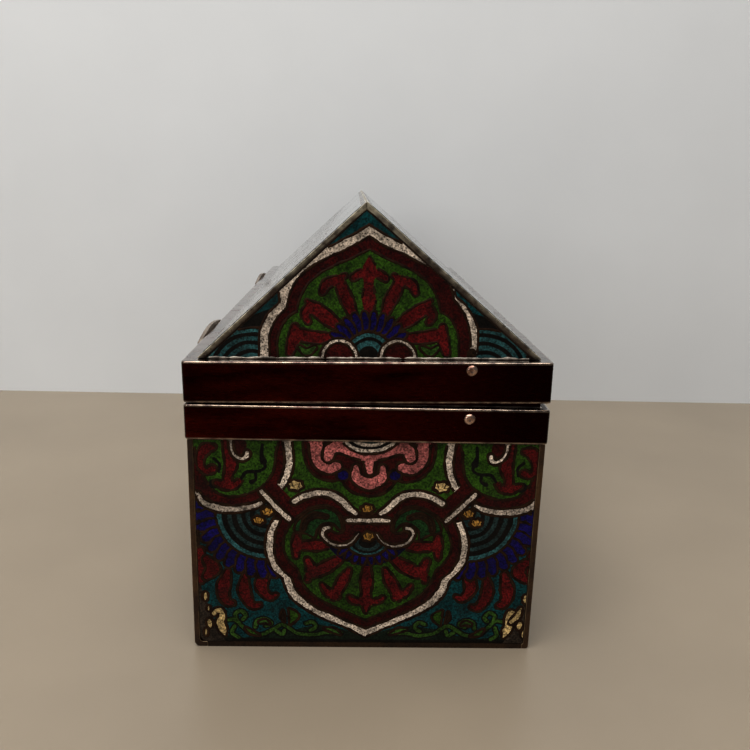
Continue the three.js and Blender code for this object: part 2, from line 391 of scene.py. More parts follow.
class NodeSheet:
    """Lays out one procedural material with short calls, measured in millimetres."""

    def __init__(self, name: str) -> None:
        """Starts an empty material with its output and its glossy shader.

        Args:
            name: the material's name.
        """
        self.material = bpy.data.materials.new(name)
        self.material.use_nodes = True
        self.tree = self.material.node_tree
        self.tree.nodes.clear()
        output = self.tree.nodes.new("ShaderNodeOutputMaterial")
        self.surface = output.inputs["Surface"]
        self.shader = self.tree.nodes.new("ShaderNodeBsdfPrincipled")
        self.link(self.shader.outputs["BSDF"], self.surface)
        place = self.node("TexCoord", {}, "Object")
        self.millimetres = self.node("Mapping", {"Vector": place, "Scale": (1 / MM,) * 3}, "Vector")

    def link(self, source: Value, target: Socket) -> None:
        """Joins an output to an input, or sets the input to a plain value.

        Args:
            source: a socket or a plain value.
            target: the input.
        """
        if isinstance(source, Socket):
            self.tree.links.new(source, target)
        else:
            target.default_value = source

    def node(self, kind: str, inputs: dict, output: str | int = 0, **settings: str) -> Socket:
        """Adds one node.

        Args:
            kind: the node's type, without its common prefix.
            inputs: a socket or a plain value for each input that isn't left alone.
            output: the output that is wanted.
            **settings: the node's own settings.

        Returns:
            The socket of that output.
        """
        node = self.tree.nodes.new(f"ShaderNode{kind}")
        for name, value in settings.items():
            setattr(node, name, value)
        for name, value in inputs.items():
            self.link(value, node.inputs[name])
        return node.outputs[output]

    def noise(self, scale: float, detail: float = 3.0, stretch: tuple | None = None) -> Socket:
        """Soft noise with so many features per millimetre.

        Args:
            scale: features per millimetre.
            detail: how many finer layers are added.
            stretch: factors along each axis, for grain that runs one way.

        Returns:
            The socket of its value.
        """
        place = self.millimetres
        if stretch is not None:
            place = self.node("Mapping", {"Vector": place, "Scale": stretch}, "Vector")
        return self.node("TexNoise", {"Scale": scale, "Detail": detail, "Vector": place}, "Fac")

    def along_x(self) -> Socket:
        """The millimetres along the X axis."""
        return self.node("SeparateXYZ", {"Vector": self.millimetres}, "X")

    def cells(self, scale: float) -> Socket:
        """The distance from the middle of each cell of a pattern with so many per millimetre."""
        return self.node("TexVoronoi", {"Scale": scale, "Vector": self.millimetres}, "Distance")

    def attribute(self, name: str, output: str = "Fac") -> Socket:
        """A number, or a colour where the output is Color, that the mesh carries."""
        return self.node("Attribute", {}, output, attribute_name=name)

    def spread(self, value: Value, low: float, high: float, to_low: float, to_high: float) -> Socket:
        """Stretches the values between low and high to a new range, and holds them there.

        Args:
            value: the value.
            low: the value that gives to_low.
            high: the value that gives to_high.
            to_low: one end of the new range.
            to_high: its other end.

        Returns:
            The socket of the result.
        """
        ends = {"From Min": low, "From Max": high, "To Min": to_low, "To Max": to_high}
        return self.node("MapRange", {"Value": value, **ends}, "Result")

    def maths(self, operation: str, first: Value, second: Value) -> Socket:
        """One sum of two values."""
        return self.node("Math", {0: first, 1: second}, operation=operation)

    def mix(self, share: Value, first: Value, second: Value, blend: str = "MIX") -> Socket:
        """Mixes two colours.

        Args:
            share: how much of the second is in it.
            first: a colour.
            second: a colour.
            blend: the way that they are mixed.

        Returns:
            The socket of the result.
        """
        node = self.tree.nodes.new("ShaderNodeMix")
        node.data_type = "RGBA"
        node.blend_type = blend
        sockets = [s for s in node.inputs if s.enabled]
        self.link(share, sockets[0])
        for colour, socket in zip((first, second), sockets[1:]):
            full = colour if isinstance(colour, Socket) else (*colour, 1.0)
            self.link(full, socket)
        return next(s for s in node.outputs if s.enabled)

    def grey(self, value: Value) -> Socket:
        """A number as a grey colour."""
        return self.node("CombineColor", dict.fromkeys(("Red", "Green", "Blue"), value), "Color")

    def bump(self, height: Value, depth: float) -> None:
        """Raises the surface by a height of up to so many millimetres."""
        normal = self.node("Bump", {"Strength": 1.0, "Distance": depth * MM, "Height": height}, "Normal")
        self.link(normal, self.shader.inputs["Normal"])

    def clear_from_behind(self) -> None:
        """Lets light and sight through the back of the surface."""
        behind = self.node("NewGeometry", {}, "Backfacing")
        clear = self.node("BsdfTransparent", {}, "BSDF")
        seen = self.node("MixShader", {0: behind, 1: self.shader.outputs["BSDF"], 2: clear})
        self.link(seen, self.surface)


@dataclass(frozen=True)
class EnamelFinish:
    """Old matt-polished glass: mottled colour carried by the mesh, dark pits and soft gloss."""

    name: str = "aged_enamel"
    pit_colour: tuple[float, float, float] = (0.012, 0.008, 0.006)
    pits_per_mm: float = 1.35
    grain_per_mm: float = 1.8
    relief: float = 0.05
    smoothest: float = 0.30
    gloss: float = 0.14
    polish: float = 0.0

    def build(self) -> Material:
        """Makes the material.

        Returns:
            The material.
        """
        sheet = NodeSheet(self.name)
        glass = sheet.attribute("glass", "Color")
        clouds = sheet.spread(sheet.noise(0.22, 2.0), 0.3, 0.7, 0.62, 1.30)
        grain = sheet.spread(sheet.noise(self.grain_per_mm, 2.0), 0.32, 0.68, 0.30, 1.65)
        tone = sheet.maths("MULTIPLY", clouds, grain)
        mottled = sheet.mix(1.0, glass, sheet.grey(tone), "MULTIPLY")
        pit = self.pit_share(sheet)
        stain = sheet.spread(sheet.noise(0.09, 4.0), 0.52, 0.74, 0.0, 0.5)
        stained = sheet.mix(stain, mottled, self.pit_colour)
        colour = sheet.mix(pit, stained, self.pit_colour)
        sheet.link(colour, sheet.shader.inputs["Base Color"])
        rough = sheet.spread(sheet.noise(0.8, 3.0), 0.3, 0.7, self.smoothest, self.smoothest + 0.2)
        sheet.link(rough, sheet.shader.inputs["Roughness"])
        sheet.shader.inputs["Specular IOR Level"].default_value = self.gloss
        sheet.shader.inputs["Coat Weight"].default_value = self.polish
        sheet.shader.inputs["Coat Roughness"].default_value = 0.06
        height = sheet.maths("SUBTRACT", sheet.noise(1.6, 4.0), pit)
        sheet.bump(height, self.relief)
        return sheet.material

    def pit_share(self, sheet: NodeSheet) -> Socket:
        """How deep in a pit each spot is: the middles of cells, where the glass is poor.

        Args:
            sheet: the material in the making.

        Returns:
            The socket of the share.
        """
        middle = sheet.spread(sheet.cells(self.pits_per_mm), 0.18, 0.46, 1.0, 0.0)
        poor = sheet.spread(sheet.noise(0.9, 3.0), 0.40, 0.56, 0.0, 1.0)
        share = sheet.maths("MULTIPLY", middle, poor)
        return sheet.maths("MULTIPLY", share, sheet.attribute("pits"))


@dataclass(frozen=True)
class BronzeFinish:
    """Patinated metal with blotches, fine scratches, and brighter worn edges."""

    name: str
    patina: tuple[float, float, float]
    blotch: tuple[float, float, float]
    worn: tuple[float, float, float]
    roughness: float = 0.45
    metallic: float = 0.8
    relief: float = 0.04
    grain: tuple[float, float, float] = (1.0, 1.0, 1.0)
    # strength of a painted shade that darkens the metal towards +X
    shade: float = 0.0
    polish: float = 0.0
    top_polish: float = 0.0

    def build(self) -> Material:
        """Makes the material.

        Where the finish has a shade, a painted shade darkens the metal towards +X. A top polish lies
        only on what hands have rubbed.

        Returns:
            The material.
        """
        sheet = NodeSheet(self.name)
        clouds = sheet.spread(sheet.noise(0.10, 4.0, self.grain), 0.38, 0.64, 0.0, 1.0)
        if self.shade:
            # painted shade: the metal turns to its dark blotch colour towards +X
            painted_shade_to_x = sheet.spread(sheet.along_x(), -10.0, 45.0, 0.0, self.shade)
            clouds = sheet.maths("MAXIMUM", clouds, painted_shade_to_x)
        metal = sheet.mix(clouds, self.patina, self.blotch)
        fine = sheet.spread(sheet.noise(1.4, 4.0, self.grain), 0.3, 0.7, 0.65, 1.3)
        metal = sheet.mix(1.0, metal, sheet.grey(fine), "MULTIPLY")
        rubbed = sheet.spread(sheet.noise(0.33, 4.0), 0.36, 0.60, 0.15, 1.0)
        edge = sheet.maths("MULTIPLY", sheet.attribute("wear"), rubbed)
        colour = sheet.mix(edge, metal, self.worn)
        sheet.link(colour, sheet.shader.inputs["Base Color"])
        sheet.shader.inputs["Metallic"].default_value = self.metallic
        low = self.roughness - 0.1
        rough = sheet.spread(sheet.noise(0.5, 5.0, self.grain), 0.3, 0.7, low, low + 0.24)
        sheet.link(rough, sheet.shader.inputs["Roughness"])
        if self.top_polish:
            handled = sheet.spread(sheet.attribute("wear"), 0.05, 0.25, 0.0, self.top_polish)
            sheet.link(handled, sheet.shader.inputs["Coat Weight"])
        else:
            sheet.shader.inputs["Coat Weight"].default_value = self.polish
        sheet.shader.inputs["Coat Roughness"].default_value = 0.06
        height = sheet.maths("ADD", sheet.noise(0.35, 5.0), sheet.noise(2.2, 2.0, self.grain))
        sheet.bump(height, self.relief)
        return sheet.material


@dataclass(frozen=True)
class StageFinish:
    """A plain matt surface with a faint mottle."""

    name: str
    colour: tuple[float, float, float]
    roughness: float = 0.6
    variation: float = 0.05
    one_sided: bool = False

    def build(self) -> Material:
        """Makes the material, clear from behind where it is one-sided.

        Returns:
            The material.
        """
        sheet = NodeSheet(self.name)
        low, high = 1.0 - self.variation, 1.0 + self.variation
        tone = sheet.spread(sheet.noise(0.012, 4.0), 0.3, 0.7, low, high)
        colour = sheet.mix(1.0, self.colour, sheet.grey(tone), "MULTIPLY")
        sheet.link(colour, sheet.shader.inputs["Base Color"])
        sheet.shader.inputs["Roughness"].default_value = self.roughness
        if self.one_sided:
            sheet.clear_from_behind()
        return sheet.material


# ---- meshes ----


@dataclass
class Shell:
    """A closed mesh in the making.

    Points are in metres. Faces are a flat run of corners and a size for each face. Wear says
    how much each point is rubbed, from 0 to 1.
    """

    points: Array
    corners: Array
    sizes: Array
    wear: Array

    @classmethod
    def joined(cls, shells: list["Shell"]) -> "Shell":
        """Puts several shells into one, side by side.

        Args:
            shells: the shells.

        Returns:
            The one shell.
        """
        starts = np.cumsum([0] + [len(shell.points) for shell in shells[:-1]])
        return cls(
            np.vstack([shell.points for shell in shells]),
            np.concatenate([shell.corners + start for shell, start in zip(shells, starts)]),
            np.concatenate([shell.sizes for shell in shells]),
            np.concatenate([shell.wear for shell in shells]),
        )

    def to_object(self, name: str, smooth_angle: float = 40.0) -> Object:
        """Makes the shell an object with its faces outward.

        Args:
            name: the piece's name.
            smooth_angle: edges sharper than this many degrees stay crisp.

        Returns:
            The new object, linked to the scene, with no material.
        """
        mesh = bpy.data.meshes.new(name)
        mesh.vertices.add(len(self.points))
        mesh.vertices.foreach_set("co", self.points.astype(np.float32).ravel())
        mesh.loops.add(len(self.corners))
        mesh.loops.foreach_set("vertex_index", self.corners.astype(np.int32))
        mesh.polygons.add(len(self.sizes))
        starts = np.concatenate([[0], np.cumsum(self.sizes)[:-1]])
        mesh.polygons.foreach_set("loop_start", starts.astype(np.int32))
        mesh.update(calc_edges=True)
        worn = mesh.attributes.new("wear", "FLOAT", "POINT")
        worn.data.foreach_set("value", self.wear.astype(np.float32))
        face_outward(mesh)
        mesh.polygons.foreach_set("use_smooth", np.ones(len(mesh.polygons), bool))
        mesh.set_sharp_from_angle(angle=np.radians(smooth_angle))
        piece = bpy.data.objects.new(name, mesh)
        bpy.context.scene.collection.objects.link(piece)
        return piece


def face_outward(mesh: Mesh) -> None:
    """Merges doubled points, such as those at a pole, and turns every face outward.

    Args:
        mesh: the mesh, which is changed.
    """
    work = bmesh.new()
    work.from_mesh(mesh)
    bmesh.ops.remove_doubles(work, verts=work.verts, dist=1e-7)
    bmesh.ops.recalc_face_normals(work, faces=work.faces)
    work.to_mesh(mesh)
    work.free()


def tube(sections: Array, wear: Array, looped: bool = False) -> Shell:
    """Skins a run of closed sections.

    The surface is a function of the station along the run and the place round the section.

    Args:
        sections: (stations, round, 3) points in metres.
        wear: (stations, round) rub of each point.
        looped: whether the last section joins the first. If not, both ends are capped.

    Returns:
        The closed shell.
    """
    stations, around = sections.shape[:2]
    index = np.arange(stations * around).reshape(stations, around)
    rows = index if looped else index[:-1]
    following = np.roll(index, -1, axis=0)[: len(rows)]
    quads = np.stack(
        [rows, np.roll(rows, -1, axis=1), np.roll(following, -1, axis=1), following], axis=-1
    )
    corners = [quads.ravel()]
    sizes = [np.full(rows.size, 4)]
    if not looped:
        corners += [index[0][::-1], index[-1]]
        sizes.append(np.array([around, around]))
    return Shell(
        sections.reshape(-1, 3), np.concatenate(corners), np.concatenate(sizes), wear.ravel()
    )


def drift(points: Array, size: float, reach: float, seed: float = 0.0) -> Array:
    """A slow hand-made unevenness: a sum of three sine waves over a place.

    Args:
        points: (n, 2) or (n, 3) places in millimetres.
        size: the largest value.
        reach: millimetres from one swell to the next.
        seed: shifts the waves.

    Returns:
        (n,) values between -size and size.
    """
    scale = 2 * np.pi / reach
    weights = np.array([1.0, 0.73, 0.57])[: points.shape[1]]
    phase = points @ weights * scale + seed
    cross = points @ weights[::-1] * scale * 1.7 + 2.1 * seed
    third = points[:, 0] * scale * 0.61 - points[:, 1] * scale * 0.83 + 1.3 * seed
    return size * (np.sin(phase) + np.sin(cross) + np.sin(third)) / 3


@dataclass
class Section:
    """A closed profile in two directions, with how much each of its points is worn."""

    points: Array
    wear: Array

    @classmethod
    def rounded(
        cls, corners: list[tuple[float, float, float]], steps: int = 4, spacing: float = 1e3
    ) -> "Section":
        """A profile whose corners are arcs.

        Args:
            corners: (first, second, radius) of each corner in turn.
            steps: faces along each arc.
            spacing: the longest straight stretch with no point on it.

        Returns:
            The profile, worn along its arcs and for a little way beside them.
        """
        spots = np.array([corner[:2] for corner in corners])
        points, wear = [], []
        for index, (_, _, radius) in enumerate(corners):
            here = spots[index]
            back = spots[index - 1] - here
            on = spots[(index + 1) % len(spots)] - here
            back_length, on_length = np.hypot(*back), np.hypot(*on)
            back, on = back / back_length, on / on_length
            half = np.arccos(np.clip(back @ on, -1, 1)) / 2
            cut = min(radius / np.tan(half), 0.45 * back_length, 0.45 * on_length)
            bisector = (back + on) / (np.hypot(*(back + on)) + TINY)
            middle = here + bisector * cut / np.cos(half)
            size = cut * np.tan(half)
            start = here + back * cut - middle
            end = here + on * cut - middle
            share = np.linspace(0.0, 1.0, steps + 1)[:, None]
            arc = start * (1 - share) + end * share
            arc = arc / np.hypot(*arc.T)[:, None] * size + middle
            lead = min(cut + 0.3, 0.48 * back_length)
            trail = min(cut + 0.3, 0.48 * on_length)
            count = int(on_length / spacing)
            between = np.linspace(0.0, on_length, count + 2)[1:-1, None] * on + here
            points += [here + back * lead, *arc, here + on * trail, *between]
            wear += [0.0, *np.full(steps + 1, 1.0), 0.0, *np.zeros(count)]
        return cls(np.array(points), np.array(wear))

    def inset(self, depth: float) -> Array:
        """The profile drawn in towards its own inside by a depth.

        Args:
            depth: millimetres.

        Returns:
            The drawn-in points.
        """
        ahead = np.roll(self.points, -1, axis=0) - np.roll(self.points, 1, axis=0)
        normal = leftward(unit(ahead))
        x, y = self.points.T
        area = np.sum(x * np.roll(y, -1) - np.roll(x, -1) * y)
        return self.points + normal * depth * np.sign(area)


def run_along_y(
    section: Section, start: float, end: float, tilt: float = 0.0, edge: float = 0.12
) -> Shell:
    """Carries an x and z section straight along y, with its end edges rounded over.

    Args:
        section: the profile in x and z.
        start: y of the first end.
        end: y of the last end.
        tilt: how far the lid turns the piece about the hinges.
        edge: how far the end edges are rounded over, at most the corners' own radius.

    Returns:
        The capped shell.
    """
    turn = np.linspace(np.pi / 2, 0.0, 5)
    arc = edge * (1 - np.cos(turn))
    ease = edge * (1 - np.sin(turn))
    middle = np.linspace(start + 1.0, end - 1.0, max(2, int((end - start) / 3.0)))
    stations = np.concatenate([start + ease, middle, end - ease[::-1]])
    depths = np.concatenate([arc, np.zeros(len(middle)), arc[::-1]])
    bright = np.array([0.0, 0.5, 1.0, 0.5, 0.0])
    rub = np.concatenate([bright, np.zeros(len(middle)), bright])
    layers = np.stack([section.inset(depth) for depth in depths])
    x, z = layers[:, :, 0], layers[:, :, 1]
    y = np.broadcast_to(stations[:, None], x.shape)
    points = np.stack([x, y, z], axis=-1)
    plain = np.concatenate([[0.0], np.ones(len(stations) - 2), [0.0]])
    wear = np.maximum(section.wear[None, :] * plain[:, None], rub[:, None])
    return tube(lay(points, tilt), wear)


# ---- enamelled faces ----


@dataclass(frozen=True)
class Cell:
    """One area of glass and the wire round it.

    Cells with the same join run together into one shape, with no wire between them.
    """

    outline: Array
    glass: Enamel
    wired: bool = True
    join: str = ""

    def redrawn(self, outline: Array) -> "Cell":
        """The same glass inside another outline."""
        return Cell(outline, self.glass, self.wired, self.join)


Drawing = list[Cell]


def moved(drawing: Drawing, scale: Array, shift: Array) -> Drawing:
    """The drawing scaled and then shifted."""
    return [cell.redrawn(cell.outline * scale + shift) for cell in drawing]


def both_sides(drawing: Drawing, axis: float) -> Drawing:
    """The drawing and its reflection, piece by piece, so that both keep their order."""
    over = [cell.redrawn(turned_over(cell.outline, axis)) for cell in drawing]
    return [cell for pair in zip(drawing, over) for cell in pair]


@dataclass
class EnamelFace:
    """A field of cells set in a plate, and the wires that part them."""

    name: str
    body: str
    placement: Placement
    field_outline: Array
    ground: Enamel
    drawing: Drawing
    seed: float = 0.0
    wire_step: float = 0.5
    wire_half_width: float = 0.56
    glass_top: float = 0.12
    glass_foot: float = -0.04
    wire_height: float = 0.09
    hand: float = 0.16

    def by_hand(self, flat: Array) -> Array:
        """Shifts an outline by the small slow wander of a hand-drawn line."""
        across = drift(flat, self.hand, 13.0, self.seed)
        rise = drift(flat[:, ::-1], self.hand, 11.0, self.seed + 4.0)
        return flat + np.column_stack([across, rise])

    def cells(self) -> list[Cell]:
        """The cells of the drawing as the hand drew them."""
        return [cell.redrawn(self.by_hand(cell.outline)) for cell in self.drawing]

    def mosaic(self) -> tuple[Shell, Array, Array]:
        """Cuts the field into triangles along every outline and gives each its glass.

        A triangle takes the glass of the last cell that holds its middle. The triangles are the
        top of a thin closed slab.

        Returns:
            The slab, and the colour and the pits of each of its corners.
        """
        cells = self.cells()
        outlines = [self.field_outline] + [cell.outline for cell in cells]
        points = np.vstack(outlines)
        starts = np.cumsum([0] + [len(outline) for outline in outlines[:-1]])
        edges = []
        for outline, start in zip(outlines, starts):
            index = start + np.arange(len(outline))
            edges += np.column_stack([index, np.roll(index, -1)]).tolist()
        made = delaunay_2d_cdt([Vector(point) for point in points], edges, [], 0, 1e-4)
        flat = np.array([tuple(v) for v in made[0]])
        triangles = np.array(made[2])
        middles = flat[triangles].mean(axis=1)
        kept = inside(middles, self.field_outline)
        triangles, middles = triangles[kept], middles[kept]
        owner = np.zeros(len(triangles), int)
        for number, cell in enumerate(cells, 1):
            owner[inside(middles, cell.outline)] = number
        return self.slab(flat, triangles, owner, [self.ground] + [c.glass for c in cells])

    def slab(
        self, flat: Array, triangles: Array, owner: Array, glasses: list[Enamel]
    ) -> tuple[Shell, Array, Array]:
        """Gives the triangles a thickness: a top, a foot and a rim between them.

        Args:
            flat: (n, 2) points of the field.
            triangles: (m, 3) rows of three points each.
            owner: the number of each triangle's glass.
            glasses: the glasses by number.

        Returns:
            The slab, and the colour and the pits of each of its corners.
        """
        used, triangles = np.unique(triangles, return_inverse=True)
        triangles = triangles.reshape(-1, 3)
        flat = flat[used]
        count = len(flat)
        sides = np.vstack([triangles[:, [0, 1]], triangles[:, [1, 2]], triangles[:, [2, 0]]])
        keys = np.sort(sides, axis=1) @ np.array([count, 1])
        _, first, times = np.unique(keys, return_index=True, return_counts=True)
        rim = sides[first[times == 1]]
        rim_quads = np.column_stack([rim[:, 1], rim[:, 0], rim[:, 0] + count, rim[:, 1] + count])
        top = self.placement.place(flat, self.glass_top)
        foot = self.placement.place(flat, self.glass_foot)
        corners = np.concatenate(
            [triangles.ravel(), (triangles[:, ::-1] + count).ravel(), rim_quads.ravel()]
        )
        sizes = np.concatenate([np.full(2 * len(triangles), 3), np.full(len(rim), 4)])
        shell = Shell(np.vstack([top, foot]), corners, sizes, np.zeros(2 * count))
        chance = np.random.default_rng(int(100 * self.seed) + 7)
        shade = chance.uniform(0.82, 1.18, len(glasses))
        colours = np.array([glass.value.colour for glass in glasses]) * shade[:, None]
        pits = np.array([glass.value.pits for glass in glasses])
        of_face = np.concatenate([owner, owner, np.zeros(len(rim), int)])
        of_corner = np.repeat(of_face, sizes)
        return shell, colours[of_corner], pits[of_corner]

    def wire_runs(self) -> list[tuple[Array, bool]]:
        """The stretches of every outline that no later cell covers.

        Returns:
            Each stretch, and whether it is a whole closed outline.
        """
        cells = self.cells()
        runs: list[tuple[Array, bool]] = []
        for number, cell in enumerate(cells):
            if not cell.wired:
                continue
            lap = resample(np.vstack([cell.outline, cell.outline[:1]]), self.wire_step)[:-1]
            shown = inside(lap, self.field_outline)
            joined = [c for c in cells[:number] if cell.join and c.join == cell.join]
            for other in cells[number + 1 :] + joined:
                shown &= ~inside(lap, other.outline)
            if shown.all():
                runs.append((lap, True))
            elif shown.any():
                first_hidden = np.flatnonzero(~shown)[0]
                lap = np.roll(lap, -first_hidden, axis=0)
                shown = np.roll(shown, -first_hidden)
                change = np.flatnonzero(np.diff(shown.astype(int))) + 1
                for stretch in np.split(np.arange(len(lap)), change):
                    if shown[stretch[0]] and len(stretch) > 2:
                        runs.append((lap[stretch], False))
        return runs

    def wires(self) -> Shell:
        """Carries a low half-round bead along every stretch of wire.

        The bead is a function of the running length and the place across it: it is highest in
        the middle and dips under the glass at both sides.

        Returns:
            The beads as one shell.
        """
        across = np.array([-1.0, -0.6, 0.0, 0.6, 1.0])
        crown = np.array([-0.5, 0.72, 1.0, 0.72, -0.5])
        rub = np.array([0.0, 0.5, 1.0, 0.5, 0.0])
        shells = []
        for path, whole in self.wire_runs():
            if whole:
                ahead = np.roll(path, -1, axis=0) - np.roll(path, 1, axis=0)
            else:
                ahead = np.gradient(path, axis=0)
            normal = leftward(unit(ahead))
            rough = drift(path, 0.30, 4.3, self.seed) + drift(path, 0.22, 1.4, self.seed)
            half = self.wire_half_width * (1 + rough)
            flat = path[:, None, :] + (half[:, None] * across)[:, :, None] * normal[:, None, :]
            height = self.glass_top + self.wire_height * np.broadcast_to(crown, flat.shape[:2])
            placed = self.placement.place(flat.reshape(-1, 2), height.ravel())
            wear = np.broadcast_to(rub, flat.shape[:2])
            shells.append(tube(placed.reshape(*flat.shape[:2], 3), wear, looped=whole))
        return Shell.joined(shells)

    def build(self, glass: Material, metal: Material) -> None:
        """Makes the field and its wires, and puts both on the body.

        Args:
            glass: the finish of the cells.
            metal: the finish of the wires.
        """
        shell, colours, pits = self.mosaic()
        slab = shell.to_object(f"{self.name}_enamel", smooth_angle=20.0)
        paint_corners(slab.data, colours, pits)
        finish_piece(slab, glass, self.body, "enamel_plate")
        wires = self.wires().to_object(f"{self.name}_wires", smooth_angle=80.0)
        finish_piece(wires, metal, self.body, "dark_bronze")


def paint_corners(mesh: Mesh, colours: Array, pits: Array) -> None:
    """Writes the glass and its pits into the mesh, corner by corner.

    Args:
        mesh: the slab's mesh.
        colours: (n, 3) colours.
        pits: (n,) shares.
    """
    full = np.column_stack([colours, np.ones(len(colours))])
    glass = mesh.attributes.new("glass", "FLOAT_COLOR", "CORNER")
    glass.data.foreach_set("color", full.astype(np.float32).ravel())
    pitted = mesh.attributes.new("pits", "FLOAT", "CORNER")
    pitted.data.foreach_set("value", pits.astype(np.float32))


def finish_piece(piece: Object, material: Material, body: str, slot: str, *nodes: str) -> None:
    """Dresses a new piece, ties it to its body and reports it.

    Args:
        piece: the new piece.
        material: its finish.
        body: the frame body that it moves with.
        slot: the record's material slot; not used.
        nodes: the frame nodes that it stands for, if any.
    """
    piece.data.materials.append(material)
    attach(piece, body)
    if nodes:
        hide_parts(*nodes)
    LOG.info("%s: %d faces, rides on %s", piece.name, len(piece.data.polygons), body)


# ---- drawings ----


@dataclass(frozen=True)
class WaveFan:
    """Nested arcs of turquoise and grey-green glass, as of water or cloud."""

    centre: Point
    radii: tuple[float, ...]
    squash: float = 1.0
    inner: Enamel = Enamel.SAGE

    def draw(self) -> Drawing:
        """The arcs, from the widest and brightest inwards, with dark ones between them.

        Returns:
            The cells.
        """
        glasses = [Enamel.TURQUOISE, Enamel.INK] + [self.inner, Enamel.INK] * 4
        return [
            Cell(ellipse(self.centre, radius, radius * self.squash), glasses[index], index == 0)
            for index, radius in enumerate(self.radii)
        ]


@dataclass(frozen=True)
class PetalRing:
    """Short petals set round part of a circle."""

    centre: Point
    inner: float
    outer: float
    angles: tuple[float, float, int]
    half_width: float
    glass: Enamel

    def draw(self) -> Drawing:
        """One petal at each angle, widest near its outer end.

        Returns:
            The cells.
        """
        first, last, count = self.angles
        petals: Drawing = []
        for angle in np.radians(np.linspace(first, last, count)):
            way = np.array([np.cos(angle), np.sin(angle)])
            reach = self.outer - self.inner
            spine = [
                tuple(np.array(self.centre) + way * (self.inner + reach * share))
                for share in (0.0, 0.5, 1.0)
            ]
            widths = [0.75 * self.half_width, self.half_width, 0.62 * self.half_width]
            petals.append(Cell(stroke(spine, widths), self.glass))
        return petals


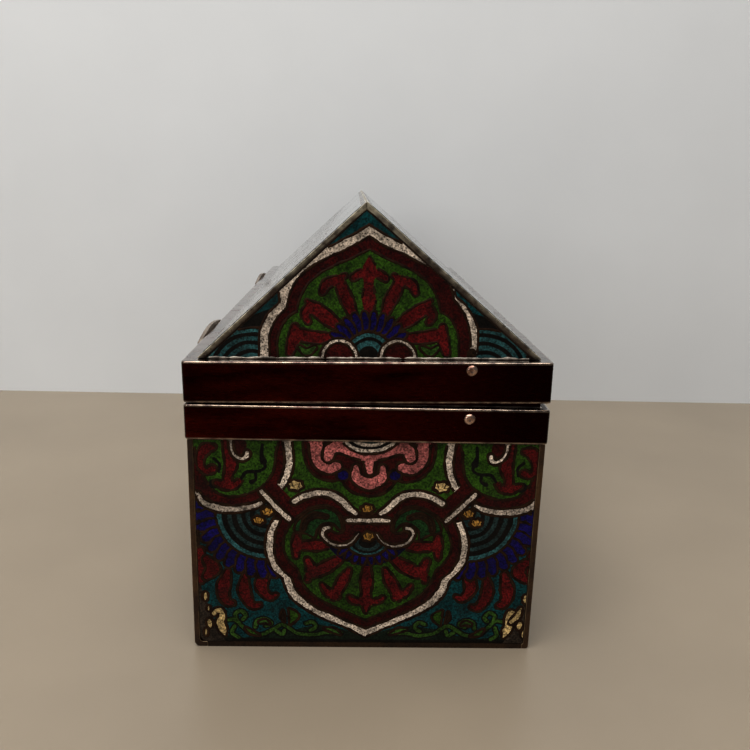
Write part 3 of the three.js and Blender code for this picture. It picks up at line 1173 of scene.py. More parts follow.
class EndPlaqueDrawing:
    """The end of the body: a hanging medallion between corner roundels, fans and scrolls."""

    AXIS = 0.8
    WHITE_EDGE = [
        [(0.8, 3.5), (-5, 6.8), (-10, 9), (-15, 11.5), (-20, 14.6), (-23.4, 18), (-25, 21.2), (-26, 24.4)],
        [(-26, 24.4), (-28.6, 27), (-30.3, 30.2), (-31.2, 34.5), (-31.1, 38.5), (-30.2, 42), (-28.7, 45.4)],
    ]
    MAROON_EDGE = [
        [(0.8, 6.8), (-5, 9.5), (-10, 12), (-15, 14.5), (-19, 17.6), (-21.6, 21), (-23, 25)],
        [(-23, 25), (-26, 27.8), (-27.8, 31.5), (-28.4, 36), (-28, 40.5), (-26.2, 45)],
    ]
    GREEN_EDGE = [
        [(0.8, 10), (-6, 13), (-12, 16), (-16.8, 19.4), (-19.6, 23.2), (-21, 28)],
        [(-21, 28), (-23.9, 31), (-25.5, 35), (-25.2, 39.5), (-22.6, 44.2), (-18.2, 48.4),
         (-13, 49.9), (-9, 48.2), (-6.9, 44.6), (-6.6, 40), (0.8, 38.5)],
    ]

    def pair(self, *cells: Cell) -> Drawing:
        """Cells of the left half, each with its reflection."""
        return both_sides(list(cells), self.AXIS)

    def ground(self) -> Drawing:
        """The dark foot of the ground and its dark upright margins.

        Returns:
            The cells.
        """
        mould = polygon([
            (-54, 0), (55, 0), (55, 5), (45, 4.4), (38, 3.4), (31, 4.4), (24, 6.8), (16, 8.0),
            (9, 7.0), (0.8, 4.0), (-9, 7.4), (-15, 8.2), (-21, 6.6), (-27, 6.4), (-31, 4.2),
            (-38, 3.2), (-44, 4.0), (-54, 5),
        ])
        foot = polygon([(-54, 0), (55, 0), (55, 3.2), (18, 2.8), (-20, 2.9), (-54, 3.0)])
        margin = polygon([(-54, 20), (-51.7, 20), (-51.4, 46), (-51.3, 72), (-54, 72)])
        return [
            Cell(mould, Enamel.PINE, wired=False),
            Cell(foot, Enamel.INK, wired=False),
            *self.pair(Cell(margin, Enamel.BROWN, wired=False)),
        ]

    def upper_field(self) -> Drawing:
        """The green field between the roundels, the pendant and the medallion."""
        rim = [(-25.6, 72), (-25.6, 64), (-27, 59), (-30.6, 55), (-29, 48), (0.8, 44)]
        half = polygon([*rim, (0.8, 72)])
        return self.pair(Cell(half, Enamel.GREEN, wired=False))

    def side_fans(self) -> Drawing:
        """The fans of waves at either side, with their cobalt and red petals.

        Returns:
            The cells.
        """
        centre = (-31.0, 46.6)
        petals = [
            ([(-31.9, 25.5), (-32.6, 21.8), (-31.4, 19), (-29.6, 17.9), (-27.8, 18.8)],
             [2.0, 2.1, 1.6, 1.4, 0.8]),
            ([(-37.4, 25.5), (-38.1, 20.8), (-37.2, 17.4), (-35.6, 14.9), (-33.4, 15.0)],
             [1.1, 2.2, 1.8, 1.5, 1.1]),
            ([(-43.2, 26.8), (-44.4, 22), (-44.6, 18.6), (-43.4, 16), (-42, 15.8)],
             [1.2, 2.4, 2.0, 1.6, 1.2]),
            ([(-51.3, 34.5), (-51.4, 30), (-51.6, 23.5)], [1.1, 2.2, 1.2]),
            ([(-49.6, 31), (-47.7, 27.9), (-50, 24.8)], [1.5, 2.5, 1.3]),
        ]
        red = [Cell(stroke(spine, widths), Enamel.RUBY) for spine, widths in petals]
        cobalt = PetalRing(centre, 14.4, 20.6, (172.0, 288.0, 12), 2.5, Enamel.COBALT).draw()
        under = [Cell(ellipse(centre, 20.4), Enamel.MIDNIGHT, wired=False)]
        waves = WaveFan(centre, (15.4, 13.6, 11.9, 10.6, 9.0, 7.6, 6.2, 4.8, 3.4)).draw()
        return both_sides([*red, *under, *cobalt, *waves], self.AXIS)

    def corner_roundels(self) -> Drawing:
        """The roundels in the upper corners, cut off by the band above.

        Returns:
            The cells.
        """
        disc = closed([
            (-24.9, 74), (-24.9, 66), (-25.4, 61), (-27.5, 56.4), (-31.6, 52.2), (-36, 50.2),
            (-41, 49.4), (-46, 50.1), (-50.4, 52.8), (-53.5, 58), (-54, 74),
        ])
        green = closed([
            (-28.6, 74), (-27.7, 66.5), (-28.2, 62), (-30, 58), (-33.6, 54.7), (-38, 52.9),
            (-42, 52.5), (-46, 53.8), (-48.8, 57.2), (-50.6, 63), (-51.2, 74),
        ])
        arc_right = stroke(
            [(-24.6, 73), (-23.6, 66), (-23.9, 61.4), (-25.2, 58), (-26.9, 55.2)],
            [1.4, 1.4, 1.35, 1.3, 1.1],
        )
        arc_foot = stroke(
            [(-51.7, 53.4), (-50.0, 50.4), (-46.2, 48.7), (-41, 48.2), (-36, 49), (-32.4, 50.3)],
            [0.8, 1.2, 1.4, 1.3, 1.2, 1.0],
        )
        stem = stroke(
            [(-42.9, 70), (-41.8, 66.2), (-41.3, 63), (-42.3, 59.4), (-42.4, 56.8)],
            [0.9, 1.7, 2.1, 1.3, 1.6],
        )
        bar = stroke([(-46, 57.0), (-43.4, 56), (-40.6, 56), (-38.8, 57.6)], [1.0, 1.5, 1.3, 1.0])
        hook = stroke(
            [(-46.4, 68.4), (-48.6, 68), (-50.2, 65.4), (-50.3, 62.4), (-48.8, 60.6), (-46.8, 61.4)],
            [1.0, 2.0, 1.5, 1.2, 1.1, 1.4],
        )
        curl = stroke(
            [(-41.2, 72), (-41, 68.4), (-40, 65.9), (-38.1, 64.8), (-36.6, 65.5), (-36.3, 66.8)],
            [0.75, 0.75, 0.8, 0.85, 1.1, 1.0],
        )
        dark = [
            stroke([(-31.8, 69.4), (-32, 66.4), (-31.5, 64.2)], [0.5, 0.6, 1.2]),
            stroke([(-31.6, 64.4), (-31, 62.2), (-33, 60.9), (-36.6, 60.6), (-38.3, 58.4)],
                   [0.7, 0.5, 0.5, 0.6, 0.5]),
            stroke([(-33.8, 60.4), (-33.7, 58.4), (-35.2, 57.4)], [0.5, 0.45, 0.8]),
            stroke([(-46.4, 64.8), (-44.8, 63), (-45, 60.4)], [0.5, 0.5, 0.4]),
        ]
        return both_sides(
            [
                Cell(disc, Enamel.MAROON),
                Cell(green, Enamel.GREEN),
                Cell(ellipse((-46.6, 56.6), 1.7), Enamel.INK, wired=False),
                Cell(stem, Enamel.RUBY, join="roundel stem"),
                Cell(bar, Enamel.RUBY, join="roundel stem"),
                Cell(hook, Enamel.RUBY),
                Cell(ellipse((-38.6, 69.2), 2.2, 3.0), Enamel.MAROON, wired=False),
                Cell(curl, Enamel.WHITE),
                Cell(arc_right, Enamel.WHITE),
                Cell(arc_foot, Enamel.WHITE),
                *[Cell(shape, Enamel.INK, wired=False) for shape in dark],
            ],
            self.AXIS,
        )

    def medallion(self) -> Drawing:
        """The hanging medallion: a white and a maroon border round its green field.

        Returns:
            The cells.
        """
        strap = polygon([(-33.4, 53.4), (-28, 57.4), (-19.5, 48.6), (-24, 43)])
        over = [[(-28.7, 45.4), (-25, 50), (-22.6, 52)],
                [(-22.6, 52), (-19, 53.9), (-14.6, 55.3), (-10.6, 54.9), (-6.8, 52.4),
                 (-3.8, 48.6), (0.8, 46.4)]]
        arch = stroke(
            [(-22.2, 51), (-19.4, 52.6), (-15, 54), (-11, 53.7), (-7.8, 51.7), (-5, 48.9), (-3.1, 47.4)],
            [1.2, 1.3, 1.3, 1.3, 1.3, 1.25, 1.1],
        )
        outer, inner = cusped(self.WHITE_EDGE), cusped(self.MAROON_EDGE)
        right_outer, right_inner = turned_over(outer, self.AXIS), turned_over(inner, self.AXIS)
        border = chain(outer[::-1], right_outer, right_inner[::-1], inner)
        bar = stroke([(-32.2, 54.2), (-28, 49.6), (-23.6, 45)], [1.1, 1.15, 1.1])
        return [
            Cell(symmetric(self.WHITE_EDGE + over, self.AXIS), Enamel.MAROON),
            *self.pair(Cell(strap, Enamel.MAROON, wired=False)),
            Cell(border, Enamel.WHITE),
            Cell(symmetric(self.GREEN_EDGE, self.AXIS), Enamel.GREEN),
            *self.pair(Cell(arch, Enamel.WHITE), Cell(bar, Enamel.WHITE)),
        ]

    def ruyi_heads(self) -> Drawing:
        """The two curled cloud heads at the top of the medallion, and the knot between them.

        Returns:
            The cells.
        """
        head = closed([
            (-22.2, 41.4), (-20.6, 45.4), (-16.8, 48.4), (-12.6, 49), (-9, 47.2), (-7.4, 43.8),
            (-7.6, 41.4), (-9.6, 43.4), (-12.2, 44), (-14.9, 42), (-15.6, 38.7), (-18.4, 40.2),
        ])
        inner = stroke([(-19.4, 41.8), (-18.6, 44.9), (-15.4, 46.7), (-12, 46)], [0.7, 0.9, 0.9, 0.6])
        knot = closed([
            (0.8, 44.2), (-6.1, 44.2), (-6.6, 41.6), (-8.6, 40.6), (-10.6, 41.4), (-12.4, 40.2),
            (-11.2, 38.2), (-8, 37), (-5, 37.8), (-2.6, 40), (0.8, 38.6), (4.2, 40), (6.6, 37.8),
            (9.6, 37), (12.8, 38.2), (14, 40.2), (12.2, 41.4), (10.2, 40.6), (8.2, 41.6), (7.7, 44.2),
        ])
        curl = stroke(
            [(-2.2, 40.4), (-4, 37.7), (-7.5, 36.2), (-11, 37.2), (-13.2, 39.6), (-13, 41.8),
             (-11.3, 42.4)],
            [0.6, 0.75, 0.8, 0.8, 0.8, 1.0, 1.0],
        )
        bar = stroke([(-5.6, 45), (0.8, 45), (7.2, 45)], [1.05, 1.1, 1.05])
        return [
            *self.pair(Cell(head, Enamel.MOSS), Cell(inner, Enamel.BROWN)),
            Cell(knot, Enamel.MAROON),
            *self.pair(Cell(curl, Enamel.WHITE)),
            Cell(bar, Enamel.WHITE),
            *self.flower((0.6, 48.9), 2.3, Enamel.OCHRE),
            *self.flower((1.0, 39.5), 2.4, Enamel.OCHRE),
        ]

    def medallion_petals(self) -> Drawing:
        """The fan of red petals under a cobalt crescent.

        Returns:
            The cells.
        """
        left = [
            ("lower", [(-5, 28), (-6.6, 24.4), (-8.4, 20.8), (-9.7, 17.8)], [1.0, 1.9, 1.8, 1.0]),
            ("lower", [(-8.6, 18.4), (-11.4, 19.8), (-13.4, 22.6)], [1.4, 1.5, 0.8]),
            ("slanted", [(-8, 31.6), (-11.6, 29), (-15.2, 27), (-17.4, 26.2)], [1.5, 2.3, 2.0, 1.3]),
            ("slanted", [(-18, 31), (-17, 28), (-17.9, 24.2)], [1.3, 1.6, 1.0]),
            ("level", [(-10, 36.9), (-15, 36.2), (-20, 36.2)], [1.3, 1.9, 1.7]),
            ("level", [(-21.3, 39.8), (-21.4, 36.2), (-21.7, 32.4)], [1.2, 1.7, 1.0]),
        ]
        petals = self.pair(
            *[Cell(stroke(spine, widths), Enamel.RUBY, join=name) for name, spine, widths in left]
        )
        middle = stroke(
            [(0.8, 28.6), (0.8, 24.2), (0.8, 19.8), (0.8, 16.6), (0.8, 12.8)], [1.4, 2.3, 1.5, 2.0, 0.5]
        )
        cross = stroke(
            [(-4.6, 18.2), (-3.0, 16.9), (0.8, 16.6), (4.6, 16.9), (6.2, 18.2)],
            [0.9, 1.2, 1.3, 1.2, 0.9],
        )
        crescent = stroke(
            [(-10.4, 35.6), (-6.4, 32.8), (0.8, 31.0), (8, 32.8), (12, 35.6)], [0.8, 1.5, 1.7, 1.5, 0.8]
        )
        lobes = PetalRing((0.8, 43.0), 9.0, 12.8, (228.0, 312.0, 8), 1.25, Enamel.COBALT).draw()
        waves = WaveFan((0.8, 37.6), (6.6, 5.2, 4.2, 2.8), 0.72).draw()
        return [
            *petals,
            Cell(cross, Enamel.RUBY, join="middle"),
            Cell(middle, Enamel.RUBY, join="middle"),
            Cell(crescent, Enamel.MIDNIGHT, wired=False),
            *lobes,
            *waves,
        ]

    def pendant(self) -> Drawing:
        """The pink lotus-like pendant that hangs from the band above.

        Returns:
            The cells.
        """
        ground = [[(-19.6, 73), (-19.2, 66.5), (-17.6, 61.8), (-14.4, 58.8), (-10.6, 57.9), (-7.8, 58.6)],
                  [(-7.8, 58.6), (-6.2, 56.2), (-3.6, 54), (0.8, 53.2)]]
        comma = stroke(
            [(-15.4, 72.5), (-15.3, 67.4), (-14.3, 64.3), (-11.8, 62.4), (-9, 62.8)],
            [2.1, 2.3, 2.5, 2.4, 1.7],
        )
        inner = stroke(
            [(-11.8, 65.8), (-11, 68.3), (-8.6, 69), (-5.2, 67.6), (-1.6, 66.3)],
            [1.9, 2.1, 2.0, 1.7, 1.5],
        )
        bowl = stroke(
            [(-3.3, 62.6), (-3.0, 59.2), (0.8, 57.2), (4.6, 59.2), (4.9, 62.6)], [1.2, 2.0, 2.1, 2.0, 1.2]
        )
        stem = stroke([(0.8, 67.6), (0.8, 64.4), (0.8, 61.2)], [2.4, 1.9, 1.4])
        rings = [
            Cell(ellipse((0.8, 72.6), across, up), glass, wired=across > 8.0)
            for across, up, glass in (
                (8.9, 5.6, Enamel.WHITE), (7.4, 4.1, Enamel.INK),
                (6.0, 3.3, Enamel.WHITE), (4.8, 2.3, Enamel.SAGE),
            )
        ]
        return [
            Cell(symmetric(ground, self.AXIS), Enamel.MAROON),
            *self.pair(
                Cell(ellipse((-7.2, 60.1), 2.0), Enamel.COBALT),
                Cell(comma, Enamel.PINK),
                Cell(inner, Enamel.PINK, join="pendant"),
            ),
            Cell(bowl, Enamel.PINK),
            Cell(stem, Enamel.PINK, join="pendant"),
            *rings,
        ]

    def flower(self, centre: Point, size: float, glass: Enamel) -> Drawing:
        """A small flower with a short dark vein on either side of its middle.

        Args:
            centre: its middle.
            size: its radius.
            glass: its colour.

        Returns:
            The cells.
        """
        across, up = centre
        veins = [
            Cell(stroke([(across + lean, up - 0.2 * size), (across + 1.5 * lean, up + 0.3 * size)],
                        [0.14, 0.18]), Enamel.BROWN, wired=False)
            for lean in (-0.3 * size, 0.3 * size)
        ]
        return [Cell(rosette(centre, size), glass), *veins]

    def flowers(self) -> Drawing:
        """The small yellow flowers beside the straps.

        Returns:
            The cells.
        """
        return self.pair(
            *self.flower((-21.7, 56.4), 2.8, Enamel.CREAM),
            *self.flower((-30.4, 47.6), 2.3, Enamel.OCHRE),
            *self.flower((-33.1, 44.6), 2.2, Enamel.OCHRE),
        )

    def foot_scrolls(self) -> Drawing:
        """The vine that runs along the foot, with its leaves and curls.

        Returns:
            The cells.
        """
        vines = [
            [(-44, 9.8), (-41.2, 9.7), (-38.8, 7.2), (-36.4, 4.9), (-32.2, 4.5), (-29, 6.4), (-26.2, 8),
             (-23.8, 6.9), (-21, 5.1), (-16.4, 4.4), (-12, 5.2), (-7, 5.2)],
            [(-40.6, 9.6), (-41, 11.8), (-39.2, 13), (-37.6, 11.2), (-38.6, 9.8)],
            [(-34.6, 7.2), (-34, 9.4), (-31.6, 10.2), (-29.6, 8.6), (-31.4, 7.6)],
            [(-18.4, 8.6), (-16.4, 9.2), (-15.2, 7.4), (-17, 6.0)],
            [(-41.4, 7.4), (-42.2, 4.8), (-40.2, 3.2)],
            [(-28, 5.6), (-26, 4.4), (-25.4, 6)],
        ]
        leaves = [
            ([(-23.8, 13.8), (-22.4, 11.2), (-23.4, 8.4)], [0.4, 2.0, 0.5], Enamel.GREEN),
            ([(-25.8, 13.2), (-26, 11), (-25.2, 9)], [0.4, 0.9, 0.3], Enamel.BROWN),
            ([(-33.2, 8.8), (-31.6, 9.3), (-30.2, 8.4)], [0.7, 1.0, 0.4], Enamel.OLIVE),
            ([(-12.4, 6.6), (-9.6, 6.2), (-7.2, 4.8)], [0.5, 1.1, 0.4], Enamel.OLIVE),
            ([(-37.6, 6.6), (-36.2, 5.4), (-33.4, 4.2)], [0.6, 1.1, 0.4], Enamel.GREEN),
        ]
        cells = [
            Cell(stroke(vine, [half_width] * len(vine)), glass, wired=False)
            for half_width, glass in ((1.05, Enamel.INK), (0.6, Enamel.OLIVE))
            for vine in vines
        ]
        cells += [Cell(stroke(spine, widths), glass) for spine, widths, glass in leaves]
        return self.pair(*cells)

    def corner_scrolls(self) -> Drawing:
        """The cream scrolls on bare metal that climb the lower corners.

        Returns:
            The cells.
        """
        body = stroke(
            [(-47.8, 11.8), (-47.4, 13), (-45.8, 13), (-45.4, 10.9), (-45.9, 8.6), (-45.1, 6.2),
             (-44.5, 4.2)],
            [1.1, 0.9, 1.2, 1.3, 1.6, 1.7, 0.7],
        )
        drops = [((-50.4, 18.1), 1.0, 1.8), ((-49.5, 13.8), 0.7, 1.3),
                 ((-49.3, 8.4), 1.2, 1.9), ((-50.6, 5.2), 0.8, 1.6)]
        bare = polygon([
            (-54, 1.2), (-44, 1.4), (-46.6, 6), (-48.2, 11), (-49.6, 15.4), (-51.6, 21), (-54, 21),
        ])
        branch = stroke([(48.2, 9.8), (50.2, 12), (50.9, 14.6)], [1.1, 1.3, 0.8])
        return [
            *self.pair(Cell(bare, Enamel.BARE, wired=False), Cell(body, Enamel.CREAM)),
            *self.pair(*[Cell(ellipse(centre, across, up), Enamel.CREAM) for centre, across, up in drops]),
            Cell(branch, Enamel.CREAM),
        ]

    def draw(self) -> Drawing:
        """The whole drawing, from the ground up.

        Returns:
            The cells.
        """
        return [
            *self.ground(),
            *self.side_fans(),
            *self.upper_field(),
            *self.foot_scrolls(),
            *self.corner_scrolls(),
            *self.corner_roundels(),
            *self.medallion(),
            *self.medallion_petals(),
            *self.ruyi_heads(),
            *self.pendant(),
            *self.flowers(),
        ]


class GableDrawing:
    """The end of the roof: a medallion that rises to a point between two fans of waves."""

    AXIS = 0.0
    LEFT_WHITE = [
        [(0, 134.5), (-5, 131.6), (-10, 129), (-15, 126.2), (-20, 122.2), (-23.8, 118.6),
         (-26, 115), (-26, 112)],
        [(-26, 112), (-29, 109.2), (-31.5, 105), (-32.5, 100.5), (-32.3, 92)],
    ]
    LEFT_MAROON = [
        [(0, 131.2), (-5, 128.3), (-10, 126), (-15, 123.4), (-19.2, 120.4), (-22.4, 116), (-24, 110.4)],
        [(-24, 110.4), (-27, 107.4), (-29, 103), (-29.4, 99), (-29.3, 92)],
    ]
    RIGHT_WHITE = [
        [(0, 134.5), (5, 131.4), (10, 129), (15, 126.2), (20, 122.4), (24, 118), (25.6, 113.8)],
        [(25.6, 113.8), (28.6, 111.4), (31.1, 107.4), (32.4, 103), (32, 92)],
    ]
    RIGHT_MAROON = [
        [(0, 131.2), (5, 128.3), (10, 126.2), (14, 124.1), (17.6, 122.4), (21.4, 119.8),
         (24, 116.6), (24.8, 113)],
        [(24.8, 113), (27.6, 109.4), (29.5, 105.4), (30.2, 100.4), (29.6, 92)],
    ]
    GREEN_EDGE = [
        [(0, 127.4), (-5, 124.9), (-10, 122.8), (-14.6, 120.2), (-18, 117), (-20.2, 113), (-21, 109.4)],
        [(-21, 109.4), (-24, 107.4), (-26, 104), (-26.9, 99.5), (-26.7, 92)],
    ]

    def ground(self) -> Drawing:
        """The dark corners and the fans of waves.

        Returns:
            The cells.
        """
        corner = polygon([(-56, 92), (-29, 92), (-29, 110), (-36, 107.4)])
        radii = (14.4, 13.1, 11.9, 10.6, 9.4, 8.0, 6.8, 5.4)
        fan = WaveFan((-34.4, 90), radii, inner=Enamel.TURQUOISE).draw()
        return both_sides([Cell(corner, Enamel.INK, wired=False), *fan], self.AXIS)

    def medallion(self) -> Drawing:
        """Its white and maroon borders and its green field.

        Returns:
            The cells.
        """
        return [
            Cell(chain(cusped(self.LEFT_WHITE), cusped(self.RIGHT_WHITE)[::-1]), Enamel.WHITE),
            Cell(chain(cusped(self.LEFT_MAROON), cusped(self.RIGHT_MAROON)[::-1]), Enamel.MAROON),
            Cell(symmetric(self.GREEN_EDGE, self.AXIS), Enamel.GREEN),
        ]

    def petals(self) -> Drawing:
        """The red petals that fan out over a cobalt crescent.

        Returns:
            The cells.
        """
        left = [
            ("steep", [(-4.8, 108.8), (-6.2, 112.5), (-8, 116.4), (-8.8, 119.2)], [1.3, 2.0, 1.8, 1.0]),
            ("steep", [(-7.2, 119.8), (-9.8, 118.4), (-12.4, 117.4), (-13.6, 115)], [0.8, 1.5, 1.5, 1.1]),
            ("slanted", [(-8.4, 104.6), (-12, 107.4), (-16, 110.4), (-18.2, 112.6)], [1.4, 2.2, 2.0, 0.6]),
            ("slanted", [(-17.4, 110.6), (-18.6, 108.4), (-17.8, 106.4)], [1.5, 1.4, 1.1]),
            ("level", [(-10.6, 101.6), (-15.5, 101.6), (-20.8, 102.4)], [1.3, 1.9, 2.0]),
            ("level", [(-21.8, 104.8), (-22.2, 101), (-23.2, 97)], [1.2, 1.9, 1.2]),
            ("middle", [(0, 125.2), (0, 122.8), (0, 120)], [0.4, 1.9, 2.0]),
            ("middle", [(-4.7, 119.2), (-2.6, 120.5), (0, 120.8)], [1.1, 1.3, 1.4]),
            ("middle", [(0, 120), (0, 116.6), (0, 113), (0, 109.4)], [1.5, 1.5, 2.1, 1.4]),
        ]
        cells = both_sides(
            [Cell(stroke(spine, widths), Enamel.RUBY, join=name) for name, spine, widths in left],
            self.AXIS,
        )
        stain = Cell(ellipse((30.8, 96.4), 1.5, 2.2), Enamel.BROWN, wired=False)
        lobes = PetalRing((0, 96.6), 8.0, 12.3, (30.0, 150.0, 10), 1.45, Enamel.COBALT).draw()
        crescent = Cell(ellipse((0, 96.6), 11.4), Enamel.MIDNIGHT, wired=False)
        waves = WaveFan((0, 96.4), (6.9, 5.4, 4.4, 2.8), inner=Enamel.TURQUOISE).draw()
        arches = [
            Cell(ellipse((-8.7, 95.6), 5.8), Enamel.WHITE),
            Cell(ellipse((-8.7, 95.6), 4.3), Enamel.MAROON),
        ]
        fold = Cell(stroke([(-16, 98.6), (-18.4, 97.2), (-20.4, 98.6)], [0.8, 1.3, 0.8]), Enamel.OLIVE)
        return [
            *cells,
            crescent,
            *lobes,
            *waves,
            *both_sides([fold, *arches], self.AXIS),
            stain,
        ]

    def draw(self) -> Drawing:
        """The whole drawing, from the ground up."""
        return [*self.ground(), *self.medallion(), *self.petals()]


@dataclass(frozen=True)
class BayDrawing:
    """A long face: the medallions of the ends repeated in bays, with fans between them."""

    bays: tuple[float, ...]
    foot: float
    hanging: bool

    def draw(self) -> Drawing:
        """Every bay, one layer over another, turned point up where the face is a roof's.

        Neighbouring bays share a roundel, so a layer is laid in all of them before the next.

        Returns:
            The cells.
        """
        end = EndPlaqueDrawing()
        scale = np.array([1.0, 1.0 if self.hanging else -1.0])
        layers = (
            end.side_fans, end.upper_field, end.corner_roundels, end.medallion,
            end.medallion_petals, end.ruyi_heads, end.pendant, end.flowers,
        )
        drawing: Drawing = []
        for layer in layers:
            for middle in self.bays:
                drawing += moved(layer(), scale, np.array([middle - end.AXIS, self.foot]))
        return drawing


# ---- the box's parts ----


def made(finish: EnamelFinish | BronzeFinish) -> Material:
    """A field whose value is a finish's material, made with the sheet of finishes."""
    return field(default_factory=finish.build)


@dataclass(frozen=True)
class Finishes:
    """Every material of the box, made once."""

    glass: Material = made(EnamelFinish())
    roof_glass: Material = made(
        EnamelFinish("polished_enamel", relief=0.003, smoothest=0.10, gloss=0.5, polish=1.0)
    )
    wire: Material = made(BronzeFinish(
        "wire_bronze", (0.007, 0.0032, 0.0020), (0.018, 0.0065, 0.004), (0.055, 0.026, 0.011),
        roughness=0.5,
    ))
    roof_wire: Material = made(BronzeFinish(
        "polished_wire", (0.010, 0.0055, 0.0035), (0.022, 0.010, 0.006), (0.080, 0.045, 0.025),
        roughness=0.22, relief=0.003, polish=1.0,
    ))
    # the band's shade is a painted shade, darker towards +X
    band: Material = made(BronzeFinish(
        "band_bronze", (0.066, 0.0060, 0.0030), (0.012, 0.0014, 0.0010), (0.34, 0.25, 0.18),
        roughness=0.21, metallic=1.0, relief=0.012, grain=(0.35, 0.35, 1.6), shade=1.0, top_polish=1.0,
    ))
    edge: Material = made(BronzeFinish(
        "plate_edge_bronze", (0.075, 0.036, 0.012), (0.026, 0.011, 0.0045), (0.40, 0.28, 0.14),
        roughness=0.42, metallic=0.4,
    ))
    roof_edge: Material = made(BronzeFinish(
        "roof_edge_bronze", (0.032, 0.012, 0.005), (0.014, 0.005, 0.003), (0.74, 0.66, 0.48),
        roughness=0.30, metallic=0.6, relief=0.01, polish=0.6,
    ))
    base: Material = made(BronzeFinish(
        "plain_bronze", (0.060, 0.032, 0.016), (0.035, 0.021, 0.013), (0.30, 0.19, 0.10), roughness=0.58,
    ))
    copper: Material = made(BronzeFinish(
        "rivet_copper", (0.22, 0.10, 0.065), (0.06, 0.018, 0.012), (0.55, 0.38, 0.29),
        roughness=0.27, metallic=1.0, relief=0.02,
    ))
    solder: Material = made(BronzeFinish(
        "rough_solder", (0.09, 0.07, 0.055), (0.025, 0.018, 0.013), (0.46, 0.40, 0.33),
        roughness=0.45, metallic=0.6, relief=0.08,
    ))
    hinge: Material = made(BronzeFinish(
        "hinge_bronze", (0.30, 0.25, 0.20), (0.16, 0.125, 0.095), (0.50, 0.42, 0.33),
        roughness=0.34, metallic=0.5,
    ))


@dataclass
class Band:
    """A cast band round the box: one section carried round a rectangle with rounded corners."""

    name: str
    body: str
    node: str
    section: Section
    half_width: float
    half_length: float
    corner_radius: float = 1.4
    tilt: float = 0.0
    seed: float = 0.0
    unevenness: float = 0.10
    nicks: tuple[tuple[float, float, float, float], ...] = ()
    stations: tuple[int, int] = (84, 48)  # along a long side and along an end

    def lap(self, inset: float) -> tuple[Array, Array]:
        """Places round the band at one inset, and their outward directions.

        The straight sides and the quarter arcs have the same stations at every inset.

        Args:
            inset: millimetres in from the band's outer face.

        Returns:
            The places and the directions.
        """
        radius = max(self.corner_radius - 0.25 * inset, 0.7)
        u, v = self.half_width - inset - radius, self.half_length - inset - radius
        share = np.linspace(0.0, 1.0, 13)
        points, outward = [], []
        for quarter, (x, y) in enumerate(((u, -v), (u, v), (-u, v), (-u, -v))):
            angle = np.pi / 2 * (quarter - 1 + share)
            way = np.column_stack([np.cos(angle), np.sin(angle)])
            corner = np.array([x, y]) + radius * way
            following = np.array([(u, v), (-u, v), (-u, -v), (u, -v)][quarter]) + radius * way[-1]
            count = self.stations[quarter % 2]
            side = np.linspace(0.0, 1.0, count + 2)[1:-1, None]
            points += [corner, corner[-1] * (1 - side) + following * side]
            outward += [way, np.repeat(way[-1:], count, axis=0)]
        return np.vstack(points), np.vstack(outward)

    def shell(self) -> Shell:
        """The band: a function of the place round it and the place round its section.

        Returns:
            The closed shell.
        """
        columns = []
        for inset, height in self.section.points:
            flat, outward = self.lap(max(inset, 0.0))
            stray = np.abs(drift(flat, self.unevenness, 37.0, self.seed + 0.05 * height))
            flat = flat - outward * stray[:, None]
            rise = height - np.abs(drift(flat, 0.5 * self.unevenness, 29.0, self.seed + 2.0))
            for x, y, reach, depth in self.nicks:
                near = np.exp(-((flat[:, 0] - x) ** 2 + (height - y) ** 2) / reach**2)
                front = flat[:, 1] < 5.0 - self.half_length
                flat = flat - outward * (depth * near * front)[:, None]
            columns.append(np.column_stack([flat, rise]))
        points = np.stack(columns, axis=1)
        wear = np.broadcast_to(self.section.wear, points.shape[:2])
        return tube(lay(points, self.tilt), wear, looped=True)

    def build(self, metal: Material) -> None:
        """Makes the band and puts it in the place of its frame node."""
        finish_piece(self.shell().to_object(self.name), metal, self.body, "dark_bronze", self.node)


@dataclass
class Rivet:
    """A domed rivet head, a little dished and worn bright, on the front of a band."""

    name: str
    body: str
    node: str
    tilt: float = 0.0
    sides: int = 48
    dome: float = 0.98
    dish: float = 0.30
    shank: float = 0.8
    tail_radius: float = 1.05
    tail: float = 0.5

    def build(self, metal: Material) -> None:
        """Turns the head's profile about the rivet's axis and makes the piece.

        Args:
            metal: its finish.
        """
        extent = Extent.of_node(self.node, self.tilt)
        centre = (extent.low + extent.high) / 2
        radius = (extent.high[0] - extent.low[0]) / 2
        face = extent.low[1]
        share = np.linspace(0.0, 1.0, 15)
        rise = np.sqrt(np.clip(1.0 - (share * 0.97) ** 2, 0.0, 1.0))
        dish = self.dish * np.exp(-((share / self.dish) ** 2))
        head = face + 1.0 - (rise - dish) * self.dome
        behind = [self.shank, self.shank, self.tail_radius, self.tail_radius, 0.0]
        reach = np.concatenate([share * radius, behind])
        back = extent.high[1]
        tail = back - self.tail
        depth = np.concatenate([head, [face + 1.05, tail, tail, back, back]])
        turn = np.linspace(0.0, 2 * np.pi, self.sides, endpoint=False)
        ring = 1 + 0.05 * np.sin(2 * turn + 0.8) + 0.03 * np.sin(3 * turn)
        rub = np.concatenate([np.clip(1.25 - 1.4 * np.abs(share - 0.55), 0, 1), np.zeros(5)])
        squeeze = np.where(np.arange(len(reach)) < len(share), 1.0, 0.0)[:, None]
        spread = reach[:, None] * (1 + squeeze * (ring - 1) * 0.6)
        points = np.stack(
            [
                centre[0] + spread * np.cos(turn),
                np.broadcast_to(depth[:, None], spread.shape),
                centre[2] + spread * np.sin(turn),
            ],
            axis=-1,
        )
        shell = tube(lay(points, self.tilt), np.broadcast_to(rub[:, None], spread.shape))
        finish_piece(shell.to_object(self.name), metal, self.body, "worn_copper", self.node)


